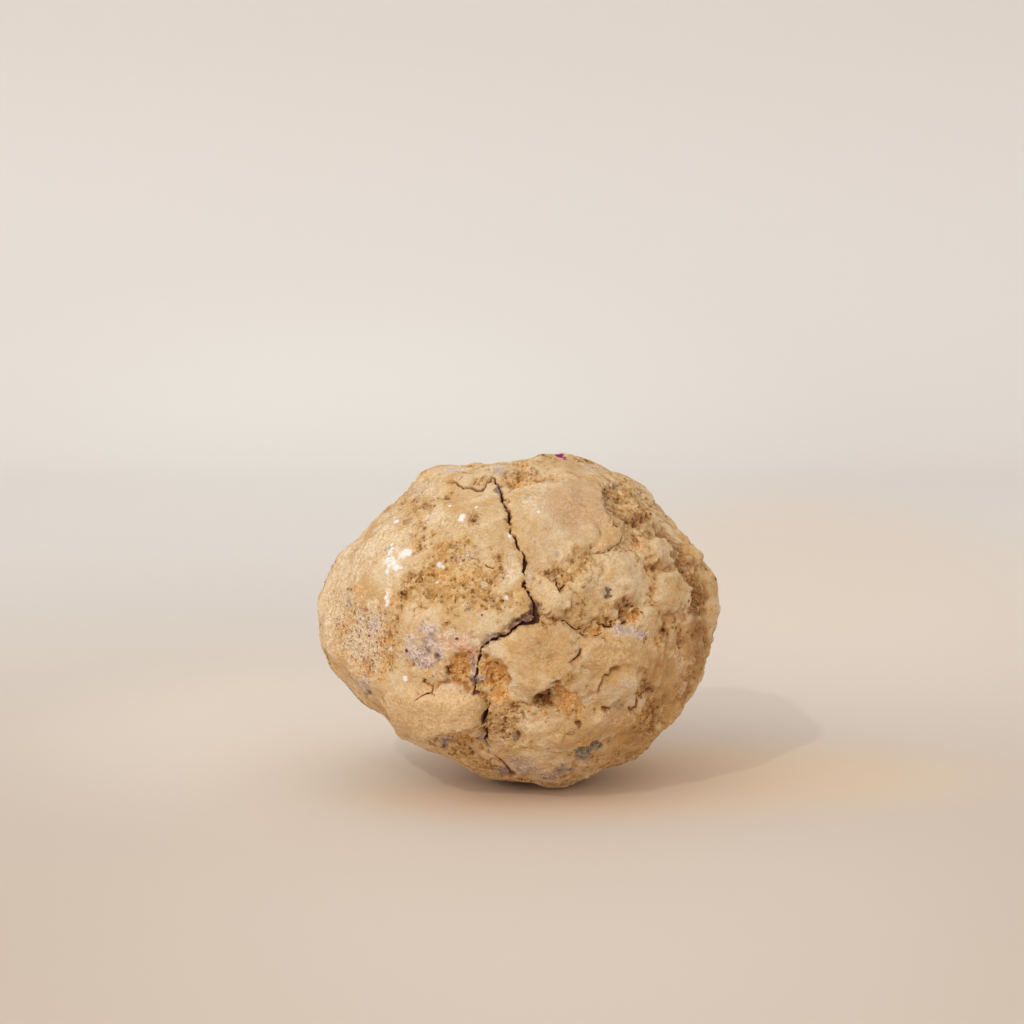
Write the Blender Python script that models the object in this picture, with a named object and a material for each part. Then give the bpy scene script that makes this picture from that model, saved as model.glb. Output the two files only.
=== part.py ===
"""A closed quartz geode: one knobbly nodule of limestone and clay, cracked open from its crown to its foot.

Metres, +Z up. The origin is at the middle of the stone's footprint, on the surface that it rests on.
+X is to the right of someone who faces the crack, and +Y is away from them.

The form is written in the stone's own face frame, in millimetres from its heart: right, away and up,
where up leans back with the face. A base form with a measured outline gets lumps, ledges, pits and
rubble, is cut flat where it rests, and is then slit along the crack.
"""

import functools
import math

import bmesh
import bpy
import numpy as np
from mathutils import Matrix, Vector, noise

MM = 0.001

# Driving dimensions, in millimetres and degrees.
FRONT_DEPTH = 33.0  # heart to the front of the face
BACK_DEPTH = 34.5  # heart to the back
FACE_LEAN = 10.0  # the outline's plane leans back by this much
HEART_HEIGHT = 30.6  # heart above the surface that the stone rests on
FULLNESS = 2.15  # 2 is an ellipse from outline to pole, more is fuller
RIM_FADE = 0.55  # how near the outline, as a share of the way to the pole, its small dents reach
TRIANGLES = 8600  # of the finished stone, before the flat and the crack are cut
SPHERE_LEVEL = 7  # icosphere subdivisions that the form is worked out on
FINE_BLUR = 0.8  # degrees over which the measured outline is rounded
BROAD_BLUR = 13.0  # and the same outline away from the rim

# The broadest outline, seen square to the face, clockwise from the top of the crack: (right, up).
OUTLINE = [
    (-4.3, 29.8), (-0.9, 30.3), (2.5, 30.7), (5.3, 31.3), (8.5, 31.7), (11.9, 31.1), (15.7, 29.6),
    (17.8, 28.4), (20.2, 28.1), (23.2, 26.0), (25.1, 24.9), (26.5, 22.8), (27.4, 20.7), (29.3, 19.2),
    (31.4, 16.9), (34.0, 13.7), (34.8, 11.1), (37.0, 8.8), (37.8, 5.4), (37.8, 1.6), (36.7, -3.3),
    (35.9, -7.5), (35.2, -10.9), (34.0, -12.9), (31.6, -15.6), (28.5, -18.8), (26.8, -21.8),
    (24.2, -25.4), (21.4, -26.7), (15.7, -28.8), (11.2, -30.3), (8.1, -31.7), (5.3, -31.6),
    (3.4, -30.1), (-0.8, -29.8), (-5.1, -29.8), (-7.9, -28.8), (-10.8, -26.9), (-15.1, -24.7),
    (-19.8, -22.8), (-22.3, -21.5), (-23.4, -19.0), (-25.3, -17.3), (-27.9, -16.4), (-30.1, -14.8),
    (-32.5, -11.8), (-35.9, -8.0), (-37.2, -4.3), (-38.0, 1.0), (-37.6, 4.4), (-35.7, 9.4),
    (-33.8, 12.8), (-30.2, 15.2), (-26.6, 19.2), (-22.9, 22.8), (-20.0, 25.8), (-18.3, 28.1),
    (-15.7, 29.0), (-9.8, 29.2),
]

# Plateaus of the face: name, right, up, half width, half height, turn (degrees), rise, and the share of
# the way from edge to middle that the slope takes. A negative rise is a recess.
FACE_FORMS = [
    ("pillow below the crack's knee", -15.4, -16.8, 12.2, 6.4, -3, 2.3, 0.32),
    ("plate under the crack's corner", 4.3, -7.2, 7.6, 6.2, -8, 1.3, 0.25),
    ("tongue of that plate", 3.4, -11.6, 3.4, 3.4, 20, 0.7, 0.4),
    ("ochre recess beside the crack", -3.6, -10.6, 2.7, 4.6, 8, -1.0, 0.45),
    ("recess above the pillow", -10.0, -8.9, 3.9, 3.7, 15, -1.3, 0.45),
    ("three-cornered pit", 6.4, -13.9, 4.5, 2.5, 4, -2.2, 0.6),
    ("lower plate", 10.5, -19.9, 8.9, 3.5, 7, 1.2, 0.3),
    ("foot lobe", 6.6, -28.4, 4.8, 4.0, 0, 1.1, 0.6),
    ("round lump above the corner", 6.2, 4.0, 3.8, 3.0, 35, 1.4, 0.5),
    ("upper plate", 9.6, 18.0, 9.8, 6.2, -12, 0.8, 0.2),
    ("lump above the middle band", 10.6, 7.2, 2.8, 4.4, -10, 0.9, 0.5),
    ("broad lump right of it", 18.8, 8.0, 3.6, 4.6, 5, 0.8, 0.5),
    ("upper end of the side valley", 26.9, 16.8, 2.3, 7.0, 24, -1.4, 0.7),
    ("lower end of the side valley", 32.0, 2.6, 2.0, 7.6, 12, -1.1, 0.7),
    ("boulder beside the valley", 25.2, 12.8, 3.4, 3.2, 0, 1.1, 0.5),
    ("smooth lump beside the valley", 27.6, 5.4, 3.0, 4.4, 5, 1.4, 0.4),
    ("pit on the right", 26.4, -2.1, 1.9, 2.1, 0, -1.0, 0.7),
    ("crumbling band", 15.7, -0.6, 8.4, 2.3, 3, -1.0, 0.4),
    ("broad flank below the band", 19.0, -6.6, 8.6, 4.4, -14, 0.7, 0.3),
    ("boulder on the lower flank", 18.0, -12.6, 4.4, 3.7, 0, 1.1, 0.35),
    ("crumbling recess at the upper right", 19.8, 21.2, 5.6, 4.2, -25, -1.0, 0.4),
    ("step below the crown", 1.8, 26.1, 4.6, 1.5, 9, -0.9, 0.5),
    ("crown strip", -12.4, 27.0, 8.4, 2.6, 3, 0.7, 0.4),
    ("smooth plate left of the crack", -6.0, 16.4, 5.4, 5.9, 5, 0.6, 0.3),
    ("great crumbling hollow", -12.4, 6.6, 9.4, 7.2, 12, -0.8, 0.2),
    ("crumbling hollow on the far left", -26.4, -4.2, 5.8, 8.2, 10, -0.8, 0.3),
    ("smooth shoulder on the left", -26.4, 11.4, 7.6, 6.2, -40, 0.6, 0.3),
    ("recess under the pillow", -9.0, -22.4, 6.0, 2.6, -18, -1.1, 0.5),
    ("pocket in the crack", -6.0, -17.4, 1.3, 1.6, 0, -1.2, 0.7),
]

# Plateaus of the other sides: azimuth and elevation from the heart (degrees, 0 is the middle of the
# face, 90 the right side, 180 the back), then half width, half height, turn, rise and slope as above.
SIDE_FORMS = [
    ("ridge on the right side", 78, 4, 4.2, 13.0, 12, 1.5, 0.6),
    ("ledge on the right side", 104, 30, 10.0, 4.8, -34, 1.3, 0.35),
    ("hollow on the right side", 104, -8, 7.0, 5.6, 15, -1.3, 0.45),
    ("plate on the right side", 124, -24, 9.0, 6.4, 24, 1.2, 0.35),
    ("bulge at the back's right", 140, 6, 8.5, 8.6, -10, 1.5, 0.5),
    ("pit at the back's right", 158, -16, 3.6, 3.2, 0, -1.7, 0.7),
    ("great hollow at the back", 176, 26, 9.6, 6.8, 32, -1.3, 0.35),
    ("plate at the back", 190, -10, 10.6, 6.4, -18, 1.4, 0.3),
    ("ledge at the back's left", 214, 12, 10.0, 4.6, 52, 1.2, 0.35),
    ("pit at the back's left", 226, -18, 4.0, 3.0, 30, -1.7, 0.7),
    ("bulge on the left side", 240, 2, 7.0, 9.0, -15, 1.3, 0.6),
    ("ledge on the left side", 262, 38, 9.0, 4.4, -40, 1.1, 0.35),
    ("hollow on the left side", 258, -20, 7.4, 5.0, 10, -1.2, 0.45),
    ("plate on the left side", 280, -2, 6.6, 8.2, 8, 1.1, 0.35),
    ("crown plate", 190, 64, 9.6, 6.0, 30, 0.9, 0.35),
    ("crown hollow", 110, 58, 7.0, 4.6, -30, -1.1, 0.45),
    ("crown lump", 30, 72, 5.6, 4.6, 10, 0.9, 0.5),
    ("low plate at the back", 164, -36, 8.0, 5.0, 32, 0.9, 0.4),
    ("low hollow at the left", 300, -42, 6.0, 4.4, -20, -1.0, 0.45),
    ("low ledge at the right", 72, -34, 7.4, 4.4, 26, 1.0, 0.4),
    ("hollow under the left", 290, -62, 8.0, 5.0, 35, -0.9, 0.5),
    ("plate under the back", 196, -60, 8.0, 5.4, 20, 0.7, 0.4),
    ("hollow under the right", 128, -58, 6.4, 4.6, -20, -0.9, 0.5),
    ("worn foot", 205, -81, 9.0, 7.4, 0, 0.8, 0.6),
]

# Small lumps and pits scattered where the lists above leave the stone bare.
SCATTER_COUNT = 90
SCATTER_SEED = 7
SCATTER_SIZE = (2.2, 4.8)
SCATTER_RISE = (-0.9, 0.9)
FACE_SHARE = 0.35  # how strongly they and the rubble show on the face, where each form is placed by hand
RIM_SHARE = 0.15  # and in a band along the outline, which is measured
RIM_BAND = (-2.0, 5.0)  # the middle of that band, away from the heart's plane, and its reach
OVERHANG = 0.15  # how much of what would stand out past the outline, seen square to the face, is kept
FOOT_SHARE = 0.4  # and underneath, where the stone is worn

SWELL = (15.0, 1.1)  # size and height of the broad swells
PLATES = [(9.5, 0.9), (5.0, 0.45)]  # size of each layer of broken plates, and how far its plates differ
PLATE_STEP = 0.3  # how wide the step between two plates is, as a share of their size
RAGGED = (3.2, 0.16)  # size and strength of the noise that makes a plateau's edge uneven

# The crack, clockwise from the crown: right, away (None where it runs on the face), up. Then its
# width at the surface and its depth.
CRACK = [
    (-8.6, 24.0, 20.0, 0.25, 0.8), (-7.0, 20.0, 23.5, 0.45, 2.2), (-8.0, 15.0, 26.0, 0.6, 3.4),
    (-6.2, 10.0, 28.5, 0.7, 4.4), (-6.6, 5.0, 29.5, 0.75, 5.0), (-4.8, 0.0, 30.0, 0.8, 5.4),
    (-5.4, -5.0, 29.6, 0.8, 5.6), (-4.4, -10.5, 28.6, 0.8, 5.6),
    (-4.6, None, 26.8, 0.8, 5.6), (-3.1, None, 23.9, 0.8, 5.6), (-2.5, None, 21.8, 0.9, 5.6),
    (-1.4, None, 20.1, 0.9, 5.6), (-1.3, None, 18.1, 0.9, 5.6), (-1.5, None, 16.2, 0.7, 5.6),
    (-0.3, None, 14.6, 0.8, 5.6), (0.3, None, 12.6, 0.8, 5.6), (1.5, None, 11.0, 0.9, 5.6),
    (1.3, None, 8.4, 0.9, 5.6), (2.0, None, 5.2, 0.8, 5.8), (3.0, None, 2.8, 0.9, 6.0),
    (3.7, None, 0.2, 1.2, 6.2), (1.9, None, -0.6, 1.3, 6.0), (0.3, None, -1.0, 1.1, 5.8),
    (-1.4, None, -2.2, 0.8, 5.6), (-3.2, None, -3.1, 0.8, 5.6), (-5.0, None, -3.6, 0.8, 5.6),
    (-6.5, None, -5.0, 0.9, 5.6), (-6.8, None, -7.2, 0.9, 5.4), (-7.1, None, -9.4, 0.9, 5.2),
    (-7.7, None, -11.8, 0.8, 5.0), (-5.6, None, -14.0, 0.8, 4.6), (-5.1, None, -16.0, 0.9, 4.4),
    (-6.3, None, -18.2, 0.9, 4.2), (-5.6, None, -20.4, 0.7, 4.0), (-5.6, None, -22.4, 0.7, 3.8),
    (-5.1, None, -24.2, 0.7, 3.6), (-3.3, None, -25.6, 0.6, 3.2), (-1.9, None, -27.2, 0.6, 2.8),
    (-0.5, -13.0, -28.8, 0.5, 1.8), (0.2, -10.4, -30.0, 0.25, 0.8),
]
CRACK_CLEARANCE = 1.2  # how far the cutter stands above the surface

TAN = (0.645, 0.413, 0.216, 1.0)
DULLNESS = 0.92


def clear_scene():
    for item in list(bpy.data.objects):
        bpy.data.objects.remove(item, do_unlink=True)


def smooth_step(value):
    value = np.clip(value, 0.0, 1.0)
    return value * value * (3.0 - 2.0 * value)


def blurred(values, spread):
    """A closed row of one value per half degree, blurred over spread degrees."""
    steps = np.arange(-180, 181)
    weights = np.exp(-0.5 * (steps / 2.0 / spread) ** 2)
    return sum(w * np.roll(values, step) for w, step in zip(weights, steps)) / weights.sum()


@functools.lru_cache(maxsize=1)
def outline_reaches():
    """The outline's distance from the heart every half degree: as measured, and without its small dents."""
    points = np.array(OUTLINE)
    angles = np.degrees(np.arctan2(points[:, 1], points[:, 0])) % 360.0
    every = np.arange(0.0, 360.0, 0.5)
    measured = np.interp(every, *zip(*sorted(zip(angles, np.hypot(*points.T)))), period=360.0)
    return every, blurred(measured, FINE_BLUR), blurred(measured, BROAD_BLUR)


def outline_towards(right, up):
    """The outline's distance from the heart in the direction of (right, up): with and without its dents."""
    every, fine, broad = outline_reaches()
    angle = np.degrees(np.arctan2(up, right)) % 360.0
    return np.interp(angle, every, fine, period=360.0), np.interp(angle, every, broad, period=360.0)


def base_reach(ways):
    """Distance from the heart to the base form along each unit vector (right, away, up)."""
    right, away, up = ways.T
    fine, broad = outline_towards(right, up)
    near_rim = smooth_step(1.0 - np.abs(away) / RIM_FADE)
    rim = broad + (fine - broad) * near_rim
    depth = np.where(away < 0.0, FRONT_DEPTH, BACK_DEPTH)
    share = (np.hypot(right, up) / rim) ** FULLNESS + (np.abs(away) / depth) ** FULLNESS
    return share ** (-1.0 / FULLNESS)


def unit(vectors):
    return vectors / np.linalg.norm(vectors, axis=-1, keepdims=True)


def way_on_face(right, up):
    """The direction of the point of the face's base form that lies at (right, up)."""
    _, broad = outline_towards(right, up)
    inside = min(math.hypot(right, up) / broad, 0.999)
    return unit(np.array([right, -FRONT_DEPTH * (1.0 - inside ** FULLNESS) ** (1.0 / FULLNESS), up]))


def way_around(azimuth, elevation):
    azimuth, elevation = math.radians(azimuth), math.radians(elevation)
    level = math.cos(elevation)
    return np.array([math.sin(azimuth) * level, -math.cos(azimuth) * level, math.sin(elevation)])


def plateau(points, uneven, way, half_width, half_height, turn, rise, slope):
    """Height of one plateau at each point: rise inside its ellipse, falling to 0 at its uneven edge."""
    centre = way * base_reach(way[None, :])[0]
    across = unit(np.cross((0.0, 0.0, 1.0), way))
    along = np.cross(way, across)
    cosine, sine = math.cos(math.radians(turn)), math.sin(math.radians(turn))
    offset = points - centre
    on_across, on_along = offset @ across, offset @ along
    reach = np.hypot((on_across * cosine + on_along * sine) / half_width,
                     (on_along * cosine - on_across * sine) / half_height)
    facing = points @ way > 0.0
    return np.where(facing, rise * smooth_step((1.0 - reach + uneven) / slope), 0.0)


def scattered_forms():
    """Small plateaus, spread evenly over the stone with seeded sizes."""
    dice = np.random.default_rng(SCATTER_SEED)
    golden = math.pi * (3.0 - math.sqrt(5.0))
    for index in range(SCATTER_COUNT):
        level = 1.0 - 2.0 * (index + 0.5) / SCATTER_COUNT
        turn_round = index * golden
        ring = math.sqrt(1.0 - level * level)
        way = unit(np.array([math.cos(turn_round) * ring, math.sin(turn_round) * ring, level])
                   + dice.normal(0.0, 0.08, 3))
        width, height = dice.uniform(*SCATTER_SIZE, 2)
        yield way, width, height, dice.uniform(0.0, 180.0), dice.uniform(*SCATTER_RISE), 0.5


def broken_plates(points, size, difference):
    """Plates of a given size, each at its own height, with a short step from one to the next."""
    heights = []
    for point in points:
        distances, centres = noise.voronoi(Vector(point / size))
        own, other = (noise.cell(centre * 7.0) for centre in centres[:2])
        step = min((distances[1] - distances[0]) / PLATE_STEP, 1.0)
        share = 0.5 + 0.5 * step * step * (3.0 - 2.0 * step)
        heights.append(difference * (own * share + other * (1.0 - share) - 0.5))
    return np.array(heights)


def noise_at(points, size):
    return np.array([noise.noise(Vector(point / size)) for point in points])


def stone_points(ways):
    """The points of the uncut stone along each unit vector."""
    reach = base_reach(ways)
    points = ways * reach[:, None]
    uneven = RAGGED[1] * noise_at(points, RAGGED[0])

    loose = noise_at(points, SWELL[0]) * SWELL[1] * 2.0
    for size, difference in PLATES:
        loose += broken_plates(points, size, difference)
    for form in scattered_forms():
        loose += plateau(points, uneven, *form)
    in_face = smooth_step(-ways[:, 1] / 0.5)
    at_rim = np.exp(-(((points[:, 1] - RIM_BAND[0]) / RIM_BAND[1]) ** 2))
    at_foot = smooth_step((-ways[:, 2] - 0.7) / 0.25)
    for where, kept in ((in_face, FACE_SHARE), (at_rim, RIM_SHARE), (at_foot, FOOT_SHARE)):
        loose *= 1.0 - (1.0 - kept) * where

    placed = np.zeros(len(points))
    for _, right, up, *form in FACE_FORMS:
        placed += plateau(points, uneven, way_on_face(right, up), *form)
    for _, azimuth, elevation, *form in SIDE_FORMS:
        placed += plateau(points, uneven, way_around(azimuth, elevation), *form)
    points = ways * (reach + loose + placed * (1.0 - (1.0 - RIM_SHARE) * at_rim))[:, None]

    wide = np.hypot(points[:, 0], points[:, 2])
    limit, _ = outline_towards(points[:, 0], points[:, 2])
    past = np.maximum(wide - limit, 0.0) * (1.0 - OVERHANG)
    return points * (1.0 - past / np.maximum(wide, 1.0))[:, None]


def face_to_world():
    """From the face frame in millimetres to metres, leaning back, with the heart at its height."""
    return (Matrix.Translation((0.0, 0.0, HEART_HEIGHT * MM))
            @ Matrix.Rotation(math.radians(-FACE_LEAN), 4, "X") @ Matrix.Scale(MM, 4))


def make_material(name, colour, roughness):
    material = bpy.data.materials.new(name)
    material.use_nodes = True
    shader = material.node_tree.nodes["Principled BSDF"]
    shader.inputs["Base Color"].default_value = colour
    shader.inputs["Roughness"].default_value = roughness
    shader.inputs["Metallic"].default_value = 0.0
    return material


def add_object(name, mesh):
    item = bpy.data.objects.new(name, mesh)
    bpy.context.scene.collection.objects.link(item)
    return item


def make_stone():
    """The whole nodule, thinned to its budget of triangles, with its footprint's middle at the origin."""
    form = bmesh.new()
    bmesh.ops.create_icosphere(form, subdivisions=SPHERE_LEVEL, radius=1.0)
    ways = unit(np.array([vertex.co[:] for vertex in form.verts]))
    place = face_to_world()
    for vertex, point in zip(form.verts, stone_points(ways)):
        vertex.co = place @ Vector(point)
    share = TRIANGLES / len(form.faces)
    fine = bpy.data.meshes.new("fine_form")
    form.to_mesh(fine)
    form.free()

    stone = add_object("geode", fine)
    thin = stone.modifiers.new("thin", "DECIMATE")
    thin.ratio = share
    thin.use_collapse_triangulate = True
    bpy.context.view_layer.update()
    thinned = stone.evaluated_get(bpy.context.evaluated_depsgraph_get())
    stone.data = bpy.data.meshes.new_from_object(thinned)
    stone.modifiers.clear()
    bpy.data.meshes.remove(fine)

    corners = np.array([vertex.co[:] for vertex in stone.data.vertices])
    middle = (corners.min(axis=0) + corners.max(axis=0)) / 2.0
    shift = Matrix.Translation((-middle[0], -middle[1], 0.0))
    stone.data.transform(shift)
    stone.data.materials.append(make_material("limestone_rind", TAN, DULLNESS))
    return stone, shift @ place


def hide_cutter(cutter):
    cutter.hide_render = True
    cutter.display_type = "WIRE"


def cut(item, cutter, name):
    boolean = item.modifiers.new(name, "BOOLEAN")
    boolean.operation = "DIFFERENCE"
    boolean.solver = "EXACT"
    boolean.object = cutter
    hide_cutter(cutter)


def make_ground_cutter():
    """A block whose top is the surface that the stone rests on."""
    block = bmesh.new()
    bmesh.ops.create_cube(block, size=1.0)
    side, depth = 120.0 * MM, 10.0 * MM
    for vertex in block.verts:
        vertex.co = Vector((vertex.co.x * side, vertex.co.y * side, (vertex.co.z - 0.5) * depth))
    mesh = bpy.data.meshes.new("ground_cutter")
    block.to_mesh(mesh)
    block.free()
    return add_object("ground_cutter", mesh)


def make_crack_cutter(place):
    """A jagged wedge that follows the crack, its sharp edge inwards."""
    ways = []
    for right, away, up, _, _ in CRACK:
        ways.append(way_on_face(right, up) if away is None else unit(np.array([right, away, up])))
    ways = np.array(ways)
    surface = stone_points(ways)
    along = np.gradient(surface, axis=0)
    side = unit(np.cross(ways, along))

    wedge = bmesh.new()
    rings = []
    for way, point, across, (_, _, _, width, depth) in zip(ways, surface, side, CRACK):
        half = 0.5 * width * (depth + CRACK_CLEARANCE) / depth
        top = point + way * CRACK_CLEARANCE
        corners = (top + across * half, top - across * half, point - way * depth)
        rings.append([wedge.verts.new(place @ Vector(corner)) for corner in corners])
    for ring, following in zip(rings, rings[1:]):
        for index in range(3):
            other = (index + 1) % 3
            wedge.faces.new((ring[index], ring[other], following[other], following[index]))
    wedge.faces.new(rings[0])
    wedge.faces.new(reversed(rings[-1]))
    bmesh.ops.triangulate(wedge, faces=wedge.faces)
    bmesh.ops.recalc_face_normals(wedge, faces=wedge.faces)
    mesh = bpy.data.meshes.new("crack_cutter")
    wedge.to_mesh(mesh)
    wedge.free()
    return add_object("crack_cutter", mesh)


def main():
    clear_scene()
    stone, place = make_stone()
    cut(stone, make_ground_cutter(), "resting flat")
    cut(stone, make_crack_cutter(place), "crack")


main()
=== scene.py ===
"""The quartz geode as it looks: its broken rind, its crack, its stains, and the light that it stands in.

Metres, +Z up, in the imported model's frame, unless a name or a comment says mm or pixels. The face of the
stone looks along -Y. A place marked as a pixel is where the camera below sees it, right and down from the
view's top left corner.
"""

import math

import bmesh
import bpy
import numpy as np
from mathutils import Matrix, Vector, noise


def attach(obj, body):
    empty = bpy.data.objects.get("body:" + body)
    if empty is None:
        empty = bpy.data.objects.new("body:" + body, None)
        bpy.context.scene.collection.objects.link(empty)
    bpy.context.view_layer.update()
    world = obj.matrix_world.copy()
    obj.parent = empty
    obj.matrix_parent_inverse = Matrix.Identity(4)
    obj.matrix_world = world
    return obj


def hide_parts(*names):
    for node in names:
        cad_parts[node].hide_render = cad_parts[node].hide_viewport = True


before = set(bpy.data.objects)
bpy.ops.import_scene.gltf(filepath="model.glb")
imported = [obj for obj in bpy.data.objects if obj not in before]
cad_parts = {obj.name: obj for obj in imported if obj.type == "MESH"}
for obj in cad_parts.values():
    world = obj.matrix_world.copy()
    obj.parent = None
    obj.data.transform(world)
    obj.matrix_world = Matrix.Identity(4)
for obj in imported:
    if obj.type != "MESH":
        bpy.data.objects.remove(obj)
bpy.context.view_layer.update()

MM = 0.001

# ---------------------------------------------------------------- camera
HEART = Vector((-0.00003, -0.00017, 0.0306))  # the middle of the stone, which the solid was drawn round
PICTURE = 1024  # pixels each way in the view
FIELD_OF_VIEW = math.radians(20.0)
DISTANCE = 0.549  # camera to heart
LOOK_DOWN = math.radians(10.0)  # how steeply the camera sees the heart
HEART_PIXEL = (517.0, 620.5)  # where the heart is in the view
FOCAL_PIXELS = PICTURE / 2 / math.tan(FIELD_OF_VIEW / 2)
PIXEL_MM = DISTANCE / FOCAL_PIXELS / MM  # what one pixel covers at the heart

# ---------------------------------------------------------------- the stone's surface
SPHERE_LEVELS = 8
START_RADIUS = 0.06
SLIT_RINGS = 5  # rings of points that the solid's slit is narrower than
SOFTENING = 26  # rounds of averaging that take the solid's flat faces away
TRIANGLES = 196000
AWAY_THINNED = 110000  # triangles taken from the side turned away
FACING = (0.06, 0.26)  # how squarely a point faces the camera, from not seen to well seen
BARELY_SEEN, SEEN_ENOUGH = 0.02, 0.2  # on the scale from 0, turned away, to 1, well seen
REFINED_BANDS = ((1.0, 4.0), (0.75, 2.0))  # finer points within mm of the crack and pixels of a hairline
CALM_PIXEL, STRONG_PIXEL = 440.0, 590.0  # the left of the face is calm, the right has strong relief
HOLLOW_ROUNDS = 22  # rounds of averaging that the hollows are measured against
DEEPEST_HOLLOW_MM = 1.2
FIRST_STAIN_SEED, HIDDEN_STAIN_MM, HIDDEN_STAIN_MOST = 40, 9.0, 0.7  # stains where the camera can't see
SEEN_ONLY = "plum"  # the stain that has no part there
FAR = 40.0  # pixels beyond which an outline isn't felt
# Each seed moves on by this much in the noise.
ROUGH_STRIDE, SWIRL_STRIDE, DOME_STRIDE = (17.13, -9.71, 5.37), (11.9, 7.3, -13.7), (-5.9, 17.3, 3.7)
SWIRL_SEED = 1
noise.seed_set(SWIRL_SEED)  # the swirls come out the same each time

# Smooth plates of the rind: how far the edge stands up in mm, and the outline in pixels.
PLATES = {
    "pillow": (1.0, [
        (387, 708), (388, 694), (400, 685), (411, 690), (420, 698), (431, 693), (440, 686), (452, 683),
        (466, 688), (476, 693), (485, 700), (488, 708), (484, 715), (480, 725), (470, 730), (455, 731),
        (440, 735), (425, 739), (411, 739), (398, 733), (390, 722)]),
    "above pillow": (0.4, [
        (396, 660), (415, 667), (430, 670), (442, 672), (447, 680), (433, 684), (424, 682), (421, 688),
        (412, 690), (402, 683), (393, 675)]),
    "left of corner": (0.5, [
        (468, 616), (485, 610), (505, 611), (513, 618), (508, 628), (495, 636), (482, 639), (472, 636),
        (464, 627)]),
    "crack strip": (0.5, [
        (503, 530), (512, 534), (515, 545), (519, 552), (522, 566), (523, 580), (525, 588), (512, 590),
        (503, 585), (500, 575), (503, 560), (505, 545)]),
    "upper left": (0.3, [
        (447, 505), (465, 500), (485, 492), (498, 495), (503, 505), (507, 520), (507, 530), (500, 545),
        (492, 550), (480, 548), (468, 540), (455, 536), (443, 528), (437, 515)]),
    "crown left": (0.4, [
        (430, 472), (445, 467), (470, 466), (490, 470), (492, 474), (488, 481), (482, 487), (474, 488),
        (463, 485), (450, 480), (436, 480)]),
    "shoulder": (0.2, [
        (338, 560), (350, 545), (366, 530), (380, 515), (396, 503), (404, 508), (398, 520), (402, 535),
        (385, 545), (384, 570), (380, 598), (366, 600), (355, 590), (338, 590), (330, 580)]),
    "upper right": (0.5, [
        (506, 488), (530, 484), (550, 478), (565, 470), (590, 480), (602, 492), (605, 510), (612, 520),
        (617, 526), (622, 532), (624, 538), (618, 544), (610, 549), (600, 552), (590, 548), (578, 550),
        (570, 556), (562, 563), (548, 564), (536, 570), (530, 580), (528, 570), (528, 560), (521, 550),
        (518, 540), (512, 530), (512, 515), (510, 505), (505, 497)]),
    "crown right": (0.4, [
        (550, 462), (565, 459), (580, 464), (598, 472), (605, 480), (598, 484), (585, 480), (570, 474),
        (556, 470)]),
    "round lump": (0.8, [
        (536, 582), (545, 577), (556, 581), (561, 592), (568, 586), (575, 590), (573, 602), (567, 612),
        (560, 617), (550, 616), (542, 610), (536, 601), (533, 590)]),
    "ridge lump": (0.5, [
        (572, 600), (575, 588), (585, 577), (595, 568), (603, 566), (606, 574), (598, 584), (590, 592),
        (583, 602), (575, 606)]),
    "pitted plate": (0.5, [
        (600, 575), (612, 568), (625, 570), (633, 578), (632, 590), (626, 598), (615, 604), (604, 603),
        (598, 592)]),
    "step": (0.5, [
        (597, 553), (612, 550), (628, 548), (640, 553), (645, 565), (640, 576), (628, 570), (612, 565),
        (600, 562)]),
    "boulder": (1.2, [
        (652, 541), (660, 537), (669, 541), (675, 549), (676, 560), (668, 566), (658, 565), (650, 556)]),
    "right lump": (1.3, [
        (660, 575), (668, 570), (678, 576), (685, 585), (688, 598), (684, 608), (675, 613), (664, 613),
        (657, 603), (655, 590)]),
    "centre": (0.9, [
        (512, 632), (525, 626), (540, 626), (560, 622), (570, 625), (578, 640), (581, 650), (577, 658),
        (571, 662), (575, 668), (570, 680), (562, 688), (550, 684), (543, 690), (535, 697), (527, 700),
        (515, 695), (507, 688), (512, 680), (505, 668), (500, 660), (485, 655), (483, 648), (490, 642),
        (500, 638)]),
    "below centre": (0.7, [
        (582, 650), (590, 640), (612, 640), (640, 645), (655, 655), (650, 668), (625, 665), (608, 672),
        (600, 680), (596, 692), (585, 697), (577, 700), (575, 690), (570, 685), (575, 668), (580, 660)]),
    "knuckles": (0.7, [
        (604, 676), (620, 670), (636, 680), (639, 690), (637, 705), (628, 711), (612, 708), (602, 700),
        (599, 690)]),
    "lower": (0.7, [
        (525, 728), (535, 722), (548, 717), (562, 716), (575, 720), (578, 728), (590, 722), (600, 714),
        (615, 710), (630, 712), (636, 722), (628, 733), (615, 740), (600, 744), (585, 747), (570, 751),
        (550, 751), (530, 748), (527, 738)]),
    "foot band": (0.4, [
        (507, 752), (525, 754), (545, 753), (565, 757), (572, 763), (562, 768), (540, 768), (522, 764),
        (508, 760)]),
    "right flank": (0.3, [
        (645, 645), (665, 650), (685, 650), (684, 670), (676, 688), (662, 702), (652, 705), (650, 690),
        (645, 678), (650, 665)]),
    "right ridge": (0.3, [
        (700, 565), (708, 572), (714, 585), (716, 605), (712, 625), (708, 640), (700, 640), (703, 620),
        (708, 605), (706, 590), (700, 578)]),
}

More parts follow.
